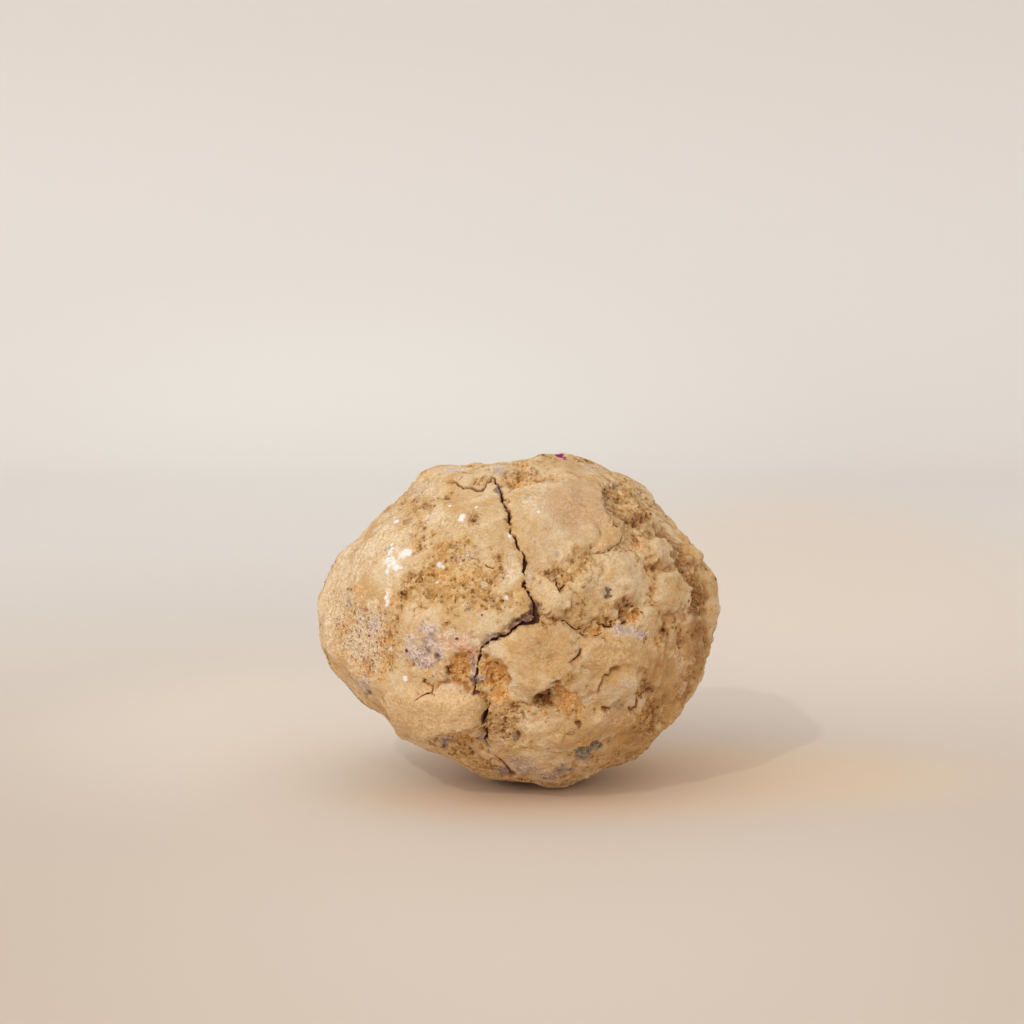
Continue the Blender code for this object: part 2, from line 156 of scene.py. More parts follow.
# Broken, crumbling ground between the plates: how deep it lies in mm, and the outline in pixels.
CRUMBS = {
    "ochre field": (0.5, [
        (431, 541), (440, 538), (455, 541), (462, 548), (470, 555), (478, 560), (484, 566), (492, 569),
        (500, 566), (502, 572), (498, 580), (500, 590), (515, 592), (518, 600), (512, 610), (490, 609),
        (470, 612), (455, 606), (440, 610), (425, 605), (410, 603), (398, 606), (390, 610), (388, 604),
        (392, 596), (396, 590), (398, 580), (400, 572), (410, 568), (420, 566), (428, 560), (428, 550)]),
    "streak": (0.5, [
        (420, 500), (428, 495), (434, 497), (434, 508), (424, 512), (418, 514), (412, 520), (405, 524),
        (401, 521), (406, 514), (413, 508), (416, 503)]),
    "ring": (0.3, [(468, 512), (476, 509), (482, 514), (481, 523), (474, 527), (468, 521)]),
    "crown spot": (0.3, [(474, 480), (482, 478), (486, 482), (481, 486), (474, 485)]),
    "crown ledge": (0.8, [
        (503, 476), (510, 472), (520, 462), (528, 462), (530, 470), (540, 470), (546, 472), (549, 478),
        (543, 482), (533, 484), (525, 487), (515, 487), (507, 488), (504, 483)]),
    "upper right": (0.4, [
        (604, 478), (618, 472), (630, 478), (640, 484), (652, 492), (656, 505), (656, 518), (650, 526),
        (640, 524), (628, 520), (616, 518), (608, 512), (604, 500), (603, 488)]),
    "far left": (0.4, [
        (333, 600), (345, 597), (360, 603), (370, 607), (383, 608), (392, 612), (400, 625), (402, 640),
        (398, 655), (395, 668), (385, 672), (375, 680), (368, 684), (360, 680), (352, 668), (342, 655),
        (335, 640), (330, 620)]),
    "left of crack": (0.5, [
        (446, 665), (452, 655), (462, 650), (472, 652), (477, 660), (476, 670), (473, 682), (472, 690),
        (465, 687), (456, 683), (449, 677)]),
    "right of crack": (0.5, [
        (481, 655), (490, 655), (500, 661), (510, 671), (512, 682), (506, 690), (510, 698), (500, 702),
        (490, 700), (480, 695), (476, 685), (479, 670)]),
    "pit": (1.6, [
        (535, 700), (540, 693), (550, 688), (556, 684), (561, 690), (560, 698), (558, 706), (554, 711),
        (548, 712), (538, 710), (532, 705)]),
    "groove": (0.5, [
        (658, 518), (668, 524), (676, 538), (685, 554), (694, 570), (688, 578), (680, 572), (672, 555),
        (664, 540), (657, 528)]),
    "under pillow": (0.7, [
        (430, 741), (445, 736), (460, 733), (475, 731), (484, 735), (486, 745), (488, 755), (478, 760),
        (465, 756), (450, 751), (438, 748)]),
    "middle": (0.7, [
        (560, 618), (575, 622), (590, 620), (605, 617), (618, 612), (622, 604), (632, 598), (640, 604),
        (646, 612), (645, 622), (632, 626), (618, 626), (612, 632), (600, 640), (585, 638), (575, 630)]),
    "valley": (0.7, [
        (688, 575), (698, 578), (704, 590), (707, 602), (704, 614), (698, 617), (690, 608), (685, 602),
        (687, 590)]),
    "lower right": (0.4, [
        (640, 708), (652, 700), (664, 706), (662, 722), (655, 735), (642, 738), (632, 734), (640, 722)]),
    "right of crack top": (0.4, [
        (536, 570), (548, 566), (562, 563), (575, 562), (590, 560), (592, 570), (578, 578), (570, 585),
        (562, 590), (556, 580), (545, 576), (536, 580)]),
    "left of pit": (0.4, [
        (487, 702), (500, 703), (515, 700), (528, 702), (532, 712), (528, 722), (520, 728), (524, 740),
        (518, 748), (505, 748), (495, 740), (490, 728), (486, 716)]),
    "behind boulder": (0.5, [
        (626, 522), (640, 524), (652, 528), (660, 536), (650, 541), (648, 552), (640, 553), (630, 547),
        (626, 538), (624, 528)]),
    "foot": (0.4, [
        (468, 762), (480, 757), (492, 758), (500, 766), (508, 774), (500, 778), (487, 777), (475, 772)]),
    "corner lip": (1.0, [
        (508, 625), (514, 619), (522, 618), (528, 612), (531, 606), (535, 606), (538, 613), (537, 621),
        (525, 622), (516, 626), (509, 631)]),
}

# The crack where the camera sees it: pixel right, pixel down, width in mm.
CRACK_SEEN = [
    (493, 475, 0.24), (494.5, 478, 0.32), (496, 481, 0.36), (498, 486, 0.34), (500, 489, 0.4),
    (501.5, 492, 0.48), (500.7, 496, 0.52), (502, 500, 0.52), (504, 504, 0.5), (506, 507, 0.44),
    (509, 510, 0.56), (510, 515, 0.7), (509.5, 520, 0.62), (511, 523, 0.5), (510, 526, 0.34),
    (509.5, 530, 0.34), (512, 533, 0.38), (515, 536, 0.42), (517, 539, 0.42), (517, 544, 0.42),
    (518, 548, 0.42), (520, 551, 0.26), (523, 553.5, 0.34), (525, 555.5, 0.42), (526, 561, 0.66),
    (524.5, 566, 0.5), (523.5, 570, 0.42), (524.5, 575, 0.24), (525, 580, 0.4), (525, 585, 0.4),
    (526.5, 589, 0.32), (529, 592, 0.38), (531, 597, 0.44), (533, 602, 0.46), (534.5, 607, 0.66),
    (536, 612, 0.95), (537, 617, 1.15), (536.5, 621, 1.0), (533, 622.5, 0.7), (528, 623.5, 0.55),
    (523, 623, 0.52), (519, 625, 0.52), (516, 627.5, 0.56), (512, 631, 0.54), (508, 634, 0.5),
    (503, 636.5, 0.42), (497, 639, 0.42), (492, 639.5, 0.38), (487, 642.5, 0.36), (482, 646, 0.42),
    (480, 650, 0.34), (480, 655, 0.28), (479, 659, 0.4), (477.5, 664, 0.3), (477.5, 670, 0.36),
    (476.5, 674, 0.38), (474, 679, 0.34), (475.5, 684, 0.36), (474.5, 688, 0.34), (473, 692, 0.42),
    (477, 694.5, 0.3), (482, 696, 0.28), (485, 699, 0.32), (488, 703, 0.3), (489, 708, 0.3),
    (487, 712, 0.5), (484, 716, 1.0), (483.5, 721, 0.8), (481, 726, 0.34), (484, 729.5, 0.42),
    (487, 732, 0.4), (485, 738, 0.3), (485.5, 743, 0.3), (489, 748, 0.32), (488, 752, 0.24),
    (488.5, 755, 0.2), (494, 757, 0.34), (498, 760, 0.55), (502, 765, 0.6), (506, 769, 0.65),
    (510, 772, 0.75), (514, 778, 1.0)]
# Over the crown and down the back: right, away and up from the heart in mm, and width in mm.
CRACK_BEHIND = [
    (-8.6, 24.0, 20.0, 0.2), (-7.0, 20.0, 23.5, 0.35), (-8.0, 15.0, 26.0, 0.45), (-6.2, 10.0, 28.5, 0.5),
    (-6.6, 5.0, 29.5, 0.35), (-5.0, 0.0, 30.0, 0.2), (-5.2, -5.0, 29.6, 0.05), (-4.8, -9.5, 28.8, 0.0)]
FACE_LEAN = math.radians(10.0)  # the face looks up by this much
CRACK_WIDTHS_MM, CRACK_DEPTHS_MM = (0.15, 0.5), (0.5, 1.4)  # how deep a thin and a wide stretch go

# Lesser cracks: width in mm, depth in mm, then pixels.
HAIRLINES = {
    "crown": (0.3, 1.2, [
        (492, 476), (490, 480), (486, 483), (484.5, 486), (481, 489), (476, 489.5), (472, 487.5),
        (467, 486.5), (463, 487), (460, 485), (457, 484), (457, 482), (450, 481.5), (447, 481)]),
    "crown twig": (0.14, 0.6, [(458, 482), (460, 479), (463, 475)]),
    "beside centre": (0.24, 0.8, [(582, 649), (580, 655), (576, 659), (572, 661), (569, 662)]),
    "above pillow": (0.3, 1.2, [(424, 680), (423, 682), (431, 687), (432, 693), (435, 695)]),
    "pillow top": (0.18, 0.5, [(432, 693), (427, 694), (420, 697), (416, 700)]),
    "tick": (0.32, 1.0, [(558, 580), (557, 584), (560, 591), (562, 588), (566, 584)]),
    "smile": (0.14, 0.35, [(484, 563), (487, 566), (493, 567.5), (496, 565)]),
    "long line": (0.2, 0.5, [(522, 749), (540, 750), (550, 749.5), (560, 752)]),
    "seam": (0.22, 0.7, [(562, 620), (567, 621), (571, 625), (578, 630), (586, 629)]),
    "arc": (0.16, 0.4, [
        (612, 520), (613, 524), (617, 526), (621, 529), (623, 535), (621, 542), (614, 546), (610, 550),
        (603, 552), (599, 551)]),
    "beside knuckles": (0.24, 0.8, [(639, 688), (638, 696), (639, 702), (637, 708), (631, 710)]),
    "hole rim": (0.22, 0.6, [(597, 636), (601, 636), (605, 633)]),
    "right seam": (0.24, 0.7, [(612, 623), (615, 621), (614, 627), (609, 627), (605, 624), (601, 625)]),
    "short": (0.2, 0.6, [(623, 624), (627, 623.5), (630, 621)]),
    "low edge": (0.22, 0.6, [(552, 698), (548, 700), (543, 701)]),
    "left boundary": (0.24, 0.7, [(446, 666), (447, 670), (448, 676)]),
}

# Ledges: the height of the step in mm, and its foot in pixels; the high side is on the left, going along.
LEDGES = {
    "below centre": (0.9, [(593, 695), (598, 688), (600, 680), (604, 674), (612, 671), (622, 666)]),
    "arc": (0.35, [(599, 552), (610, 550), (618, 544), (624, 537), (621, 529), (612, 520)]),
    "boulder": (0.8, [(676, 556), (675, 549), (669, 541), (660, 536), (650, 540)]),
    "pillow": (1.3, [
        (487, 714), (488, 705), (484, 699), (473, 692), (463, 687), (452, 683), (440, 686), (432, 692)]),
    "pillow foot": (0.8, [(411, 740), (430, 738), (447, 733), (470, 730), (481, 724)]),
    "centre foot": (1.2, [(527, 700), (540, 692), (550, 685), (558, 683), (566, 689), (574, 697)]),
    "lower": (0.6, [(578, 727), (562, 717), (548, 718), (535, 723), (527, 730)]),
    "lower foot": (0.6, [(530, 748), (550, 751), (572, 751), (590, 745), (612, 740), (628, 732)]),
    "crown": (0.8, [(548, 480), (535, 484), (520, 488), (507, 490)]),
    "crown top": (0.6, [(503, 474), (512, 472), (522, 471), (535, 471), (544, 468)]),
    "right lump": (1.2, [(688, 605), (687, 592), (683, 580), (675, 573), (665, 570)]),
    "round lump": (0.7, [(540, 610), (550, 617), (562, 617), (568, 611), (573, 600)]),
    "valley": (0.9, [(698, 619), (689, 610), (686, 600), (686, 588)]),
    "left of crack": (0.8, [(448, 684), (446, 676), (446, 668), (450, 660)]),
    "right of crack": (0.5, [(500, 660), (508, 668), (512, 680), (508, 690)]),
    "upper right": (0.9, [
        (665, 545), (650, 528), (632, 524), (616, 519), (607, 510), (603, 498), (604, 484)]),
    "middle": (0.6, [(612, 636), (590, 640), (575, 633), (560, 624)]),
}

# Holes and pores: pixel right, pixel down, radius in pixels, depth in mm.
HOLES = [
    (348, 589, 2.3, 1.0), (345, 594, 1.7, 0.9), (347, 605, 1.2, 0.8), (354, 623, 1.8, 0.8),
    (356, 636, 2.2, 0.8), (361, 656, 2.0, 1.0), (364, 663, 1.6, 0.8), (367, 669, 1.6, 0.8),
    (367, 692, 2.6, 0.8), (402, 594, 2.4, 1.0), (402, 598, 1.8, 0.9), (380, 674, 1.8, 0.7),
    (411, 664, 2.0, 0.7), (424, 681, 1.8, 0.9), (431, 542, 1.6, 0.8), (453, 556, 1.6, 0.8),
    (473, 518, 1.8, 0.8), (503, 601, 1.8, 1.0), (494, 602, 1.4, 0.8), (454, 602, 1.4, 0.8),
    (437, 656, 2.0, 0.7), (428, 650, 1.5, 0.7), (447, 672, 2.0, 0.9), (452, 680, 1.5, 0.8),
    (457, 682, 1.4, 0.8), (461, 659, 1.6, 0.7), (463, 676, 1.4, 0.7), (505, 473, 2.2, 0.9),
    (605, 490, 2.4, 1.0), (619, 480, 1.3, 0.7), (608, 510, 2.4, 1.0), (620, 511, 1.6, 0.9),
    (617, 516, 1.8, 0.9), (625, 494, 1.5, 0.7), (635, 506, 1.6, 0.7), (645, 517, 2.6, 1.1),
    (651, 514, 2.6, 1.1), (640, 522, 2.6, 1.1), (633, 520, 2.2, 1.0), (593, 547, 1.8, 0.7),
    (588, 558, 1.6, 0.8), (582, 564, 1.4, 0.7), (613, 546, 1.4, 0.7), (548, 573, 2.0, 0.7),
    (541, 582, 1.4, 0.7), (559, 590, 1.8, 1.0), (585, 588, 2.0, 0.7), (544, 609, 1.6, 0.9),
    (548, 613, 1.6, 0.9), (543, 625, 2.4, 1.0), (547, 628, 1.6, 0.8), (581, 629, 1.8, 0.9),
    (582, 635, 1.9, 1.0), (587, 635, 1.7, 0.9), (601, 624, 1.8, 0.9), (614, 624, 1.7, 0.9),
    (610, 590, 2.2, 1.0), (611, 597, 2.0, 1.0), (628, 600, 2.0, 1.1), (632, 606, 2.4, 1.4),
    (637, 607, 1.6, 0.9), (624, 611, 2.4, 1.4), (621, 617, 2.2, 1.2), (641, 613, 2.0, 1.0),
    (627, 623, 1.6, 0.8), (658, 561, 1.9, 0.9), (650, 564, 1.4, 0.7), (650, 572, 1.4, 0.7),
    (658, 577, 1.5, 0.7), (677, 559, 1.7, 0.9), (683, 573, 2.4, 1.0), (691, 583, 1.8, 0.8),
    (699, 580, 1.4, 0.7), (688, 601, 2.2, 1.1), (686, 607, 1.7, 0.9), (698, 591, 1.8, 0.8),
    (700, 598, 2.2, 1.0), (704, 604, 2.0, 0.9), (697, 605, 1.8, 0.8), (696, 617, 1.6, 0.7),
    (649, 630, 1.8, 0.8), (650, 640, 1.6, 0.8), (646, 643, 1.6, 0.8), (664, 630, 2.2, 1.0),
    (667, 634, 2.6, 1.2), (671, 629, 1.4, 0.8), (682, 648, 1.7, 0.8), (691, 633, 1.3, 0.7),
    (706, 631, 1.5, 0.8), (694, 678, 1.8, 0.8), (543, 701, 2.8, 1.4), (538, 707, 2.2, 1.2),
    (549, 694, 2.8, 1.2), (551, 704, 1.8, 0.9), (558, 694, 1.2, 0.7), (577, 692, 1.5, 0.8),
    (579, 706, 1.5, 0.7), (554, 679, 1.5, 0.8), (579, 727, 2.4, 1.4), (586, 718, 1.5, 0.7),
    (519, 711, 1.4, 0.7), (523, 703, 1.6, 0.7), (506, 722, 2.0, 0.9), (495, 729, 1.8, 0.8),
    (519, 738, 1.6, 0.9), (484, 716, 2.8, 1.2), (484, 722, 2.2, 1.0), (490, 714, 1.5, 0.7),
    (486, 731, 2.0, 0.9), (434, 743, 2.0, 0.8), (442, 749, 2.0, 0.8), (454, 755, 2.2, 0.8),
    (458, 733, 1.6, 0.7), (463, 737, 1.8, 0.8), (471, 746, 1.8, 0.7), (470, 756, 2.2, 0.9),
    (490, 762, 2.0, 0.8), (606, 711, 1.5, 0.7), (624, 705, 1.8, 0.8), (630, 710, 1.4, 0.7),
    (639, 695, 1.8, 1.0), (651, 684, 1.6, 0.8), (652, 691, 1.8, 0.9), (648, 713, 1.8, 0.8),
    (655, 716, 1.6, 0.8), (652, 724, 1.6, 0.8), (651, 732, 1.5, 0.7), (492, 684, 1.5, 0.7),
    (504, 678, 1.8, 0.8), (512, 777, 4.0, 1.4)]
# Painted shade: holes this deep get a dark spot painted inside them.
SHADED_HOLE_MM, SHADED_HOLE_SHARE = 0.9, 0.65  # holes this deep are dark inside, over this share of their radius

# Long soft ribs down the right flank: height in mm, and the rib in pixels.
RIBS = {
    "outer": (0.35, [(712, 600), (709, 640), (703, 670), (694, 690), (680, 710), (665, 732), (640, 752)]),
    "middle": (0.45, [(692, 622), (691, 650), (686, 676), (676, 696), (660, 716), (646, 734), (620, 752)]),
    "inner": (0.35, [(676, 640), (676, 660), (670, 684), (656, 706), (640, 728), (610, 748)]),
    "shoulder": (1.5, [(668, 506), (680, 523), (688, 540), (695, 556), (702, 572)]),
    "shoulder groove": (-0.9, [(656, 510), (665, 526), (673, 542), (682, 559), (690, 575)]),
}

# Patches of another colour, some of them also painted shade: pixel right, pixel down, half width and half
# height in pixels, strength.
STAINS = {
    # The next patches, laid most on the lower right and the right flank, are painted shade and warm bounce
    # light as well as the rock's own tone.
    "gold_and_shade": [
        (550, 655, 42, 34, 0.9), (610, 660, 34, 30, 0.8), (575, 735, 46, 20, 0.5), (640, 735, 36, 30, 0.9),
        (696, 650, 18, 50, 1.2), (600, 690, 40, 24, 0.4), (670, 690, 26, 44, 1.1), (580, 505, 38, 28, 0.8),
        (696, 596, 12, 26, 0.9), (670, 594, 20, 26, 0.45), (662, 553, 16, 18, 0.4), (690, 545, 14, 34, 1.1),
        (672, 520, 12, 14, 0.7)],
    "dull": [(572, 508, 44, 34, 0.7), (545, 535, 22, 24, 0.5), (640, 560, 30, 20, 0.3)],
    "brown": [
        # The first three patches here, along the shoulder's groove, are brown and also painted shade in the
        # groove.
        (697, 597, 12, 23, 1.3), (668, 531, 6, 12, 1.0), (677, 548, 6, 11, 1.0), (686, 565, 7, 12, 1.1),
        (667, 631, 7, 7, 1.1), (548, 574, 9, 5, 0.7), (543, 701, 10, 9, 0.9), (668, 668, 22, 26, 0.4),
        (636, 600, 8, 10, 0.5), (641, 518, 14, 6, 0.9), (626, 608, 9, 12, 1.0), (650, 690, 10, 10, 0.8),
        (650, 716, 10, 14, 0.9), (636, 735, 14, 8, 0.6), (446, 745, 10, 4, 0.7), (700, 640, 10, 44, 0.7),
        (575, 783, 40, 7, 0.8), (363, 660, 6, 10, 0.5), (402, 594, 4, 5, 0.8), (450, 676, 5, 6, 0.6),
        (582, 632, 10, 5, 0.6), (470, 752, 12, 8, 0.5), (494, 728, 8, 8, 0.4), (684, 573, 8, 8, 0.9),
        (677, 640, 16, 10, 0.6), (686, 690, 8, 22, 0.6), (606, 490, 7, 5, 0.6), (618, 512, 8, 7, 0.6),
        (424, 504, 7, 6, 0.6), (474, 518, 6, 7, 0.7), (476, 550, 4, 7, 0.6), (492, 602, 12, 6, 0.6),
        (497, 575, 4, 6, 0.5), (440, 597, 12, 4, 0.4), (666, 700, 10, 6, 0.6), (658, 563, 3, 6, 0.7),
        (486, 733, 8, 5, 0.8), (505, 472, 6, 3, 0.7), (690, 660, 4, 30, 0.6), (620, 755, 40, 6, 0.5),
        (680, 620, 20, 12, 0.4), (650, 655, 8, 8, 0.4)],
    "sand": [
        (362, 638, 36, 44, 1.0), (436, 708, 48, 24, 0.8), (612, 654, 28, 14, 0.7), (548, 732, 34, 10, 0.5),
        (492, 672, 12, 18, 0.5), (340, 575, 14, 30, 0.5), (620, 722, 20, 10, 0.4)],
    "pale": [
        (374, 655, 4, 22, 1.1), (543, 482, 6, 3, 1.3), (528, 486, 10, 2, 0.8), (391, 560, 10, 18, 0.9),
        (387, 588, 4, 12, 0.9), (372, 617, 9, 15, 1.5), (345, 602, 9, 12, 0.8), (447, 634, 8, 5, 0.8),
        (410, 640, 7, 8, 0.9), (511, 536, 5, 4, 0.9), (512, 568, 9, 16, 0.6), (428, 487, 14, 9, 0.6),
        (530, 500, 22, 14, 0.4), (447, 655, 5, 5, 0.8), (483, 584, 4, 5, 0.8), (465, 604, 4, 6, 0.6),
        (476, 643, 4, 4, 0.9), (512, 680, 3, 14, 0.5), (345, 560, 16, 36, 0.7), (375, 535, 36, 34, 0.6),
        (330, 600, 16, 60, 0.6), (438, 516, 16, 12, 0.5), (572, 706, 6, 5, 0.8), (590, 701, 8, 8, 0.5),
        (530, 722, 14, 4, 0.5), (455, 468, 22, 5, 0.7), (662, 549, 10, 8, 0.4), (680, 668, 4, 24, 0.5),
        (505, 745, 12, 8, 0.3), (462, 556, 14, 10, 0.4), (362, 636, 22, 34, 0.9), (400, 655, 8, 14, 0.4),
        (470, 522, 28, 22, 0.25)],
    "rust": [
        (464, 648, 8, 5, 0.9), (457, 658, 10, 7, 1.1), (460, 672, 14, 12, 1.0), (567, 699, 12, 12, 1.6),
        (492, 676, 14, 18, 1.1), (500, 697, 14, 8, 1.0), (429, 671, 4, 4, 0.8), (636, 616, 9, 5, 1.1),
        (642, 611, 5, 5, 0.6), (356, 588, 7, 6, 0.7), (600, 631, 8, 4, 0.8), (648, 718, 8, 10, 0.6),
        (466, 741, 12, 6, 0.7), (350, 619, 5, 4, 0.8), (383, 640, 10, 9, 0.7), (424, 472, 9, 3, 0.6),
        (522, 464, 6, 4, 0.9), (522, 480, 14, 6, 0.8), (470, 575, 16, 10, 0.5), (440, 575, 14, 12, 0.6),
        (437, 548, 9, 10, 0.5), (637, 545, 7, 6, 0.6), (505, 705, 14, 10, 0.6), (600, 545, 9, 6, 0.4),
        (585, 742, 10, 3, 0.8), (342, 628, 8, 8, 0.5), (383, 665, 4, 12, 0.6), (505, 677, 6, 6, 0.7),
        (540, 712, 18, 4, 0.5), (582, 715, 5, 10, 0.6), (392, 602, 5, 5, 0.6), (448, 590, 14, 10, 0.4),
        (365, 664, 6, 12, 0.5)],
    "pink": [
        (442, 639, 8, 6, 0.6), (453, 646, 10, 7, 0.9), (463, 641, 9, 6, 0.8), (470, 650, 6, 9, 0.9),
        (444, 648, 5, 4, 0.8), (482, 615, 5, 3, 0.5), (410, 652, 8, 6, 0.3), (360, 684, 6, 6, 0.4),
        (368, 634, 4, 4, 0.5), (402, 565, 3, 3, 0.6), (510, 570, 8, 10, 0.3), (535, 543, 8, 12, 0.3),
        (634, 545, 8, 6, 0.4), (620, 720, 26, 8, 0.3)],
    "lilac": [
        (373, 625, 6, 10, 0.7), (428, 628, 10, 6, 1.0), (430, 641, 10, 9, 1.0), (416, 655, 13, 8, 1.2),
        (424, 663, 11, 6, 1.1), (411, 641, 8, 10, 0.7), (440, 654, 6, 7, 1.0), (452, 640, 10, 7, 0.5),
        (624, 630, 11, 6, 1.1), (636, 628, 8, 5, 0.6), (645, 636, 7, 6, 0.9), (481, 739, 4, 5, 1.1),
        (443, 744, 6, 5, 0.8), (450, 740, 6, 4, 0.5), (498, 467, 6, 5, 1.0), (590, 468, 9, 5, 0.8),
        (617, 483, 4, 3, 1.0), (415, 489, 8, 8, 0.5), (450, 470, 16, 4, 0.6), (363, 684, 7, 8, 0.8),
        (352, 680, 5, 8, 0.4), (491, 637, 7, 4, 0.9), (490, 643, 8, 3, 0.8), (473, 670, 4, 6, 0.9),
        (474, 662, 5, 5, 0.7), (480, 680, 5, 4, 0.9), (505, 774, 10, 5, 1.0), (520, 762, 14, 5, 0.8),
        (525, 771, 16, 6, 0.9), (548, 778, 14, 8, 0.8), (565, 770, 8, 6, 0.7), (585, 760, 10, 5, 0.5),
        (640, 492, 8, 4, 0.4), (612, 690, 12, 7, 0.4), (529, 575, 3, 8, 0.6), (499, 488, 4, 10, 0.5),
        (626, 683, 8, 5, 0.5)],
    "grey": [
        (582, 754, 9, 7, 1.4), (590, 750, 9, 4, 1.3), (599, 748, 5, 3, 1.3), (583, 760, 8, 4, 0.7),
        (566, 771, 8, 5, 0.8), (610, 592, 3, 5, 1.2), (347, 598, 4, 9, 0.6), (516, 740, 5, 5, 0.7),
        (430, 636, 6, 5, 0.4), (497, 777, 8, 3, 0.7), (442, 748, 5, 4, 0.8), (619, 706, 7, 5, 0.4),
        (436, 622, 3, 2, 0.7), (468, 612, 3, 4, 0.7), (617, 483, 3, 3, 0.8), (553, 523, 2, 3, 0.6),
        (555, 555, 3, 2, 0.6), (527, 496, 4, 3, 0.4), (368, 597, 6, 3, 0.4)],
    "plum": [
        (534, 614, 6, 10, 1.4), (522, 621, 12, 4, 1.1), (511, 627, 8, 5, 0.9), (474, 684, 4, 7, 1.0),
        (503, 635, 8, 3, 0.8), (485, 643, 6, 3, 0.6), (463, 672, 3, 3, 0.4), (436, 656, 3, 4, 0.8),
        (434, 634, 4, 3, 0.6), (428, 650, 3, 3, 0.7), (484, 718, 5, 5, 0.9), (367, 692, 3.5, 3.5, 0.8),
        (497, 640, 7, 2, 0.8), (486, 741, 2, 5, 0.8), (411, 664, 3, 3, 0.5), (499, 488, 4, 6, 0.8),
        (470, 657, 3, 5, 0.5), (505, 773, 8, 4, 0.5)],
}
# Small flecks: pixel right, pixel down, radius in pixels.
WHITE_FLECKS = [
    (459.5, 518, 3.4), (462.5, 517, 3.6), (461, 519, 3.2), (403, 554, 4.2), (406, 552.5, 4.6),
    (409, 552, 4.0), (392, 544, 1.6), (392, 548, 2.4), (389, 560, 3.0), (390, 553, 3.0), (391, 558, 3.2),
    (394, 562, 3.2), (396, 566, 3.8), (389, 566, 2.6), (388, 571, 2.4), (401, 566, 1.8), (386, 560, 1.8),
    (387, 592, 1.8), (387, 597, 2.4), (387, 602, 2.6), (386, 605, 2.0), (397, 522, 2.8), (394, 518, 1.8),
    (440, 564, 3.0), (442, 567, 1.8), (437, 582, 2.0), (507, 598, 2.2), (476, 508, 2.0), (406, 679, 3.0),
    (391, 649, 2.4), (510, 535, 2.6), (512, 538, 2.2), (539, 512, 1.5), (450, 507, 2.0)]
MAGENTA_FLECKS = [
    (558, 455.5, 3.2), (560.5, 456.5, 4.0), (563, 458, 4.0), (565, 459.5, 3.0), (458, 638.5, 1.9),
    (405.5, 650, 2.0), (369, 636.5, 1.5), (481, 615, 1.2), (433, 677, 1.1)]


def smooth_step(low, high, value):
    t = np.clip((value - low) / (high - low), 0.0, 1.0)
    return t * t * (3.0 - 2.0 * t)


def unit(vectors):
    return vectors / np.linalg.norm(vectors, axis=-1, keepdims=True)


# ---------------------------------------------------------------- camera
def place_camera():
    """The camera sees the heart at HEART_PIXEL, from LOOK_DOWN above."""
    across = math.atan((HEART_PIXEL[0] - PICTURE / 2) / FOCAL_PIXELS)
    below = math.atan((HEART_PIXEL[1] - PICTURE / 2) / FOCAL_PIXELS)
    back = Vector((0.0, -math.cos(LOOK_DOWN), math.sin(LOOK_DOWN)))
    data = bpy.data.cameras.new("camera")
    data.sensor_width = 36.0
    data.lens_unit = "FOV"
    data.angle = FIELD_OF_VIEW
    data.clip_start = 0.02
    camera = bpy.data.objects.new("camera", data)
    camera.location = HEART + back * DISTANCE
    camera.rotation_euler = (math.pi / 2 - (LOOK_DOWN - below), 0.0, across)
    bpy.context.scene.collection.objects.link(camera)
    bpy.context.scene.camera = camera
    bpy.context.view_layer.update()
    return camera


def seen_at(points):
    """The pixel, right and down, at which the camera sees each point."""
    view = np.array(camera.matrix_world.inverted())
    seen = points @ view[:3, :3].T + view[:3, 3]
    right = PICTURE / 2 + FOCAL_PIXELS * seen[:, 0] / -seen[:, 2]
    down = PICTURE / 2 - FOCAL_PIXELS * seen[:, 1] / -seen[:, 2]
    return np.stack([right, down], axis=1)


# ---------------------------------------------------------------- patterns
def placed(points, size_mm, stride, seed):
    """Where each point looks in the noise, so that its lumps come out at size_mm."""
    return (points / (size_mm * MM) + np.array(stride) * seed).tolist()


def rough(points, size_mm, seed, octaves=3):
    """Noise from about -1 to 1, with lumps of size_mm. Each further octave is half as large and as strong."""
    places = placed(points, size_mm, ROUGH_STRIDE, seed)
    return np.array([noise.fractal(place, 1.0, 2.0, octaves) for place in places])


def swirled(points, size_mm, reach_mm, seed):
    """The points, each pushed about by up to reach_mm, in swirls of size_mm."""
    pushes = [noise.noise_vector(place)[:] for place in placed(points, size_mm, SWIRL_STRIDE, seed)]
    return points + np.array(pushes) * reach_mm * MM


def domes(points, size_mm, seed):
    """Domes packed side by side, with creases between them: from about 0.5 on top to -0.5 in a crease."""
    places = placed(points, size_mm, DOME_STRIDE, seed)
    return 0.5 - np.array([noise.voronoi(place)[0][0] for place in places])


def near_box(pixels, line, margin):
    """Which pixels lie within the line's box, widened by a margin."""
    line = np.array(line, float)
    return np.all((pixels > line.min(axis=0) - margin) & (pixels < line.max(axis=0) + margin), axis=1)


def from_stretch(points, a, b):
    """How far each point is from the stretch between a and b, and how far along it that is, from 0 to 1."""
    t = np.clip((points - a) @ (b - a) / ((b - a) @ (b - a)), 0.0, 1.0)
    return np.linalg.norm(points - a - t[:, None] * (b - a), axis=1), t


def edge_distance(pixels, outline):
    """Pixels to the outline's edge: above zero inside it, and FAR below zero well outside."""
    near = near_box(pixels, outline, FAR)
    close = pixels[near]
    nearest = np.full(len(close), FAR)
    odd = np.zeros(len(close), bool)
    corners = np.array(outline, float)
    for a, b in zip(corners, np.roll(corners, -1, axis=0)):
        nearest = np.minimum(nearest, from_stretch(close, a, b)[0])
        rise = b[1] - a[1]
        crosses = (close[:, 1] < a[1]) != (close[:, 1] < b[1])
        where = a[0] + (close[:, 1] - a[1]) / (rise if rise else 1.0) * (b[0] - a[0])
        odd ^= crosses & (close[:, 0] < where)
    inside = np.full(len(pixels), -FAR)
    inside[near] = np.where(odd, nearest, -nearest)
    return inside


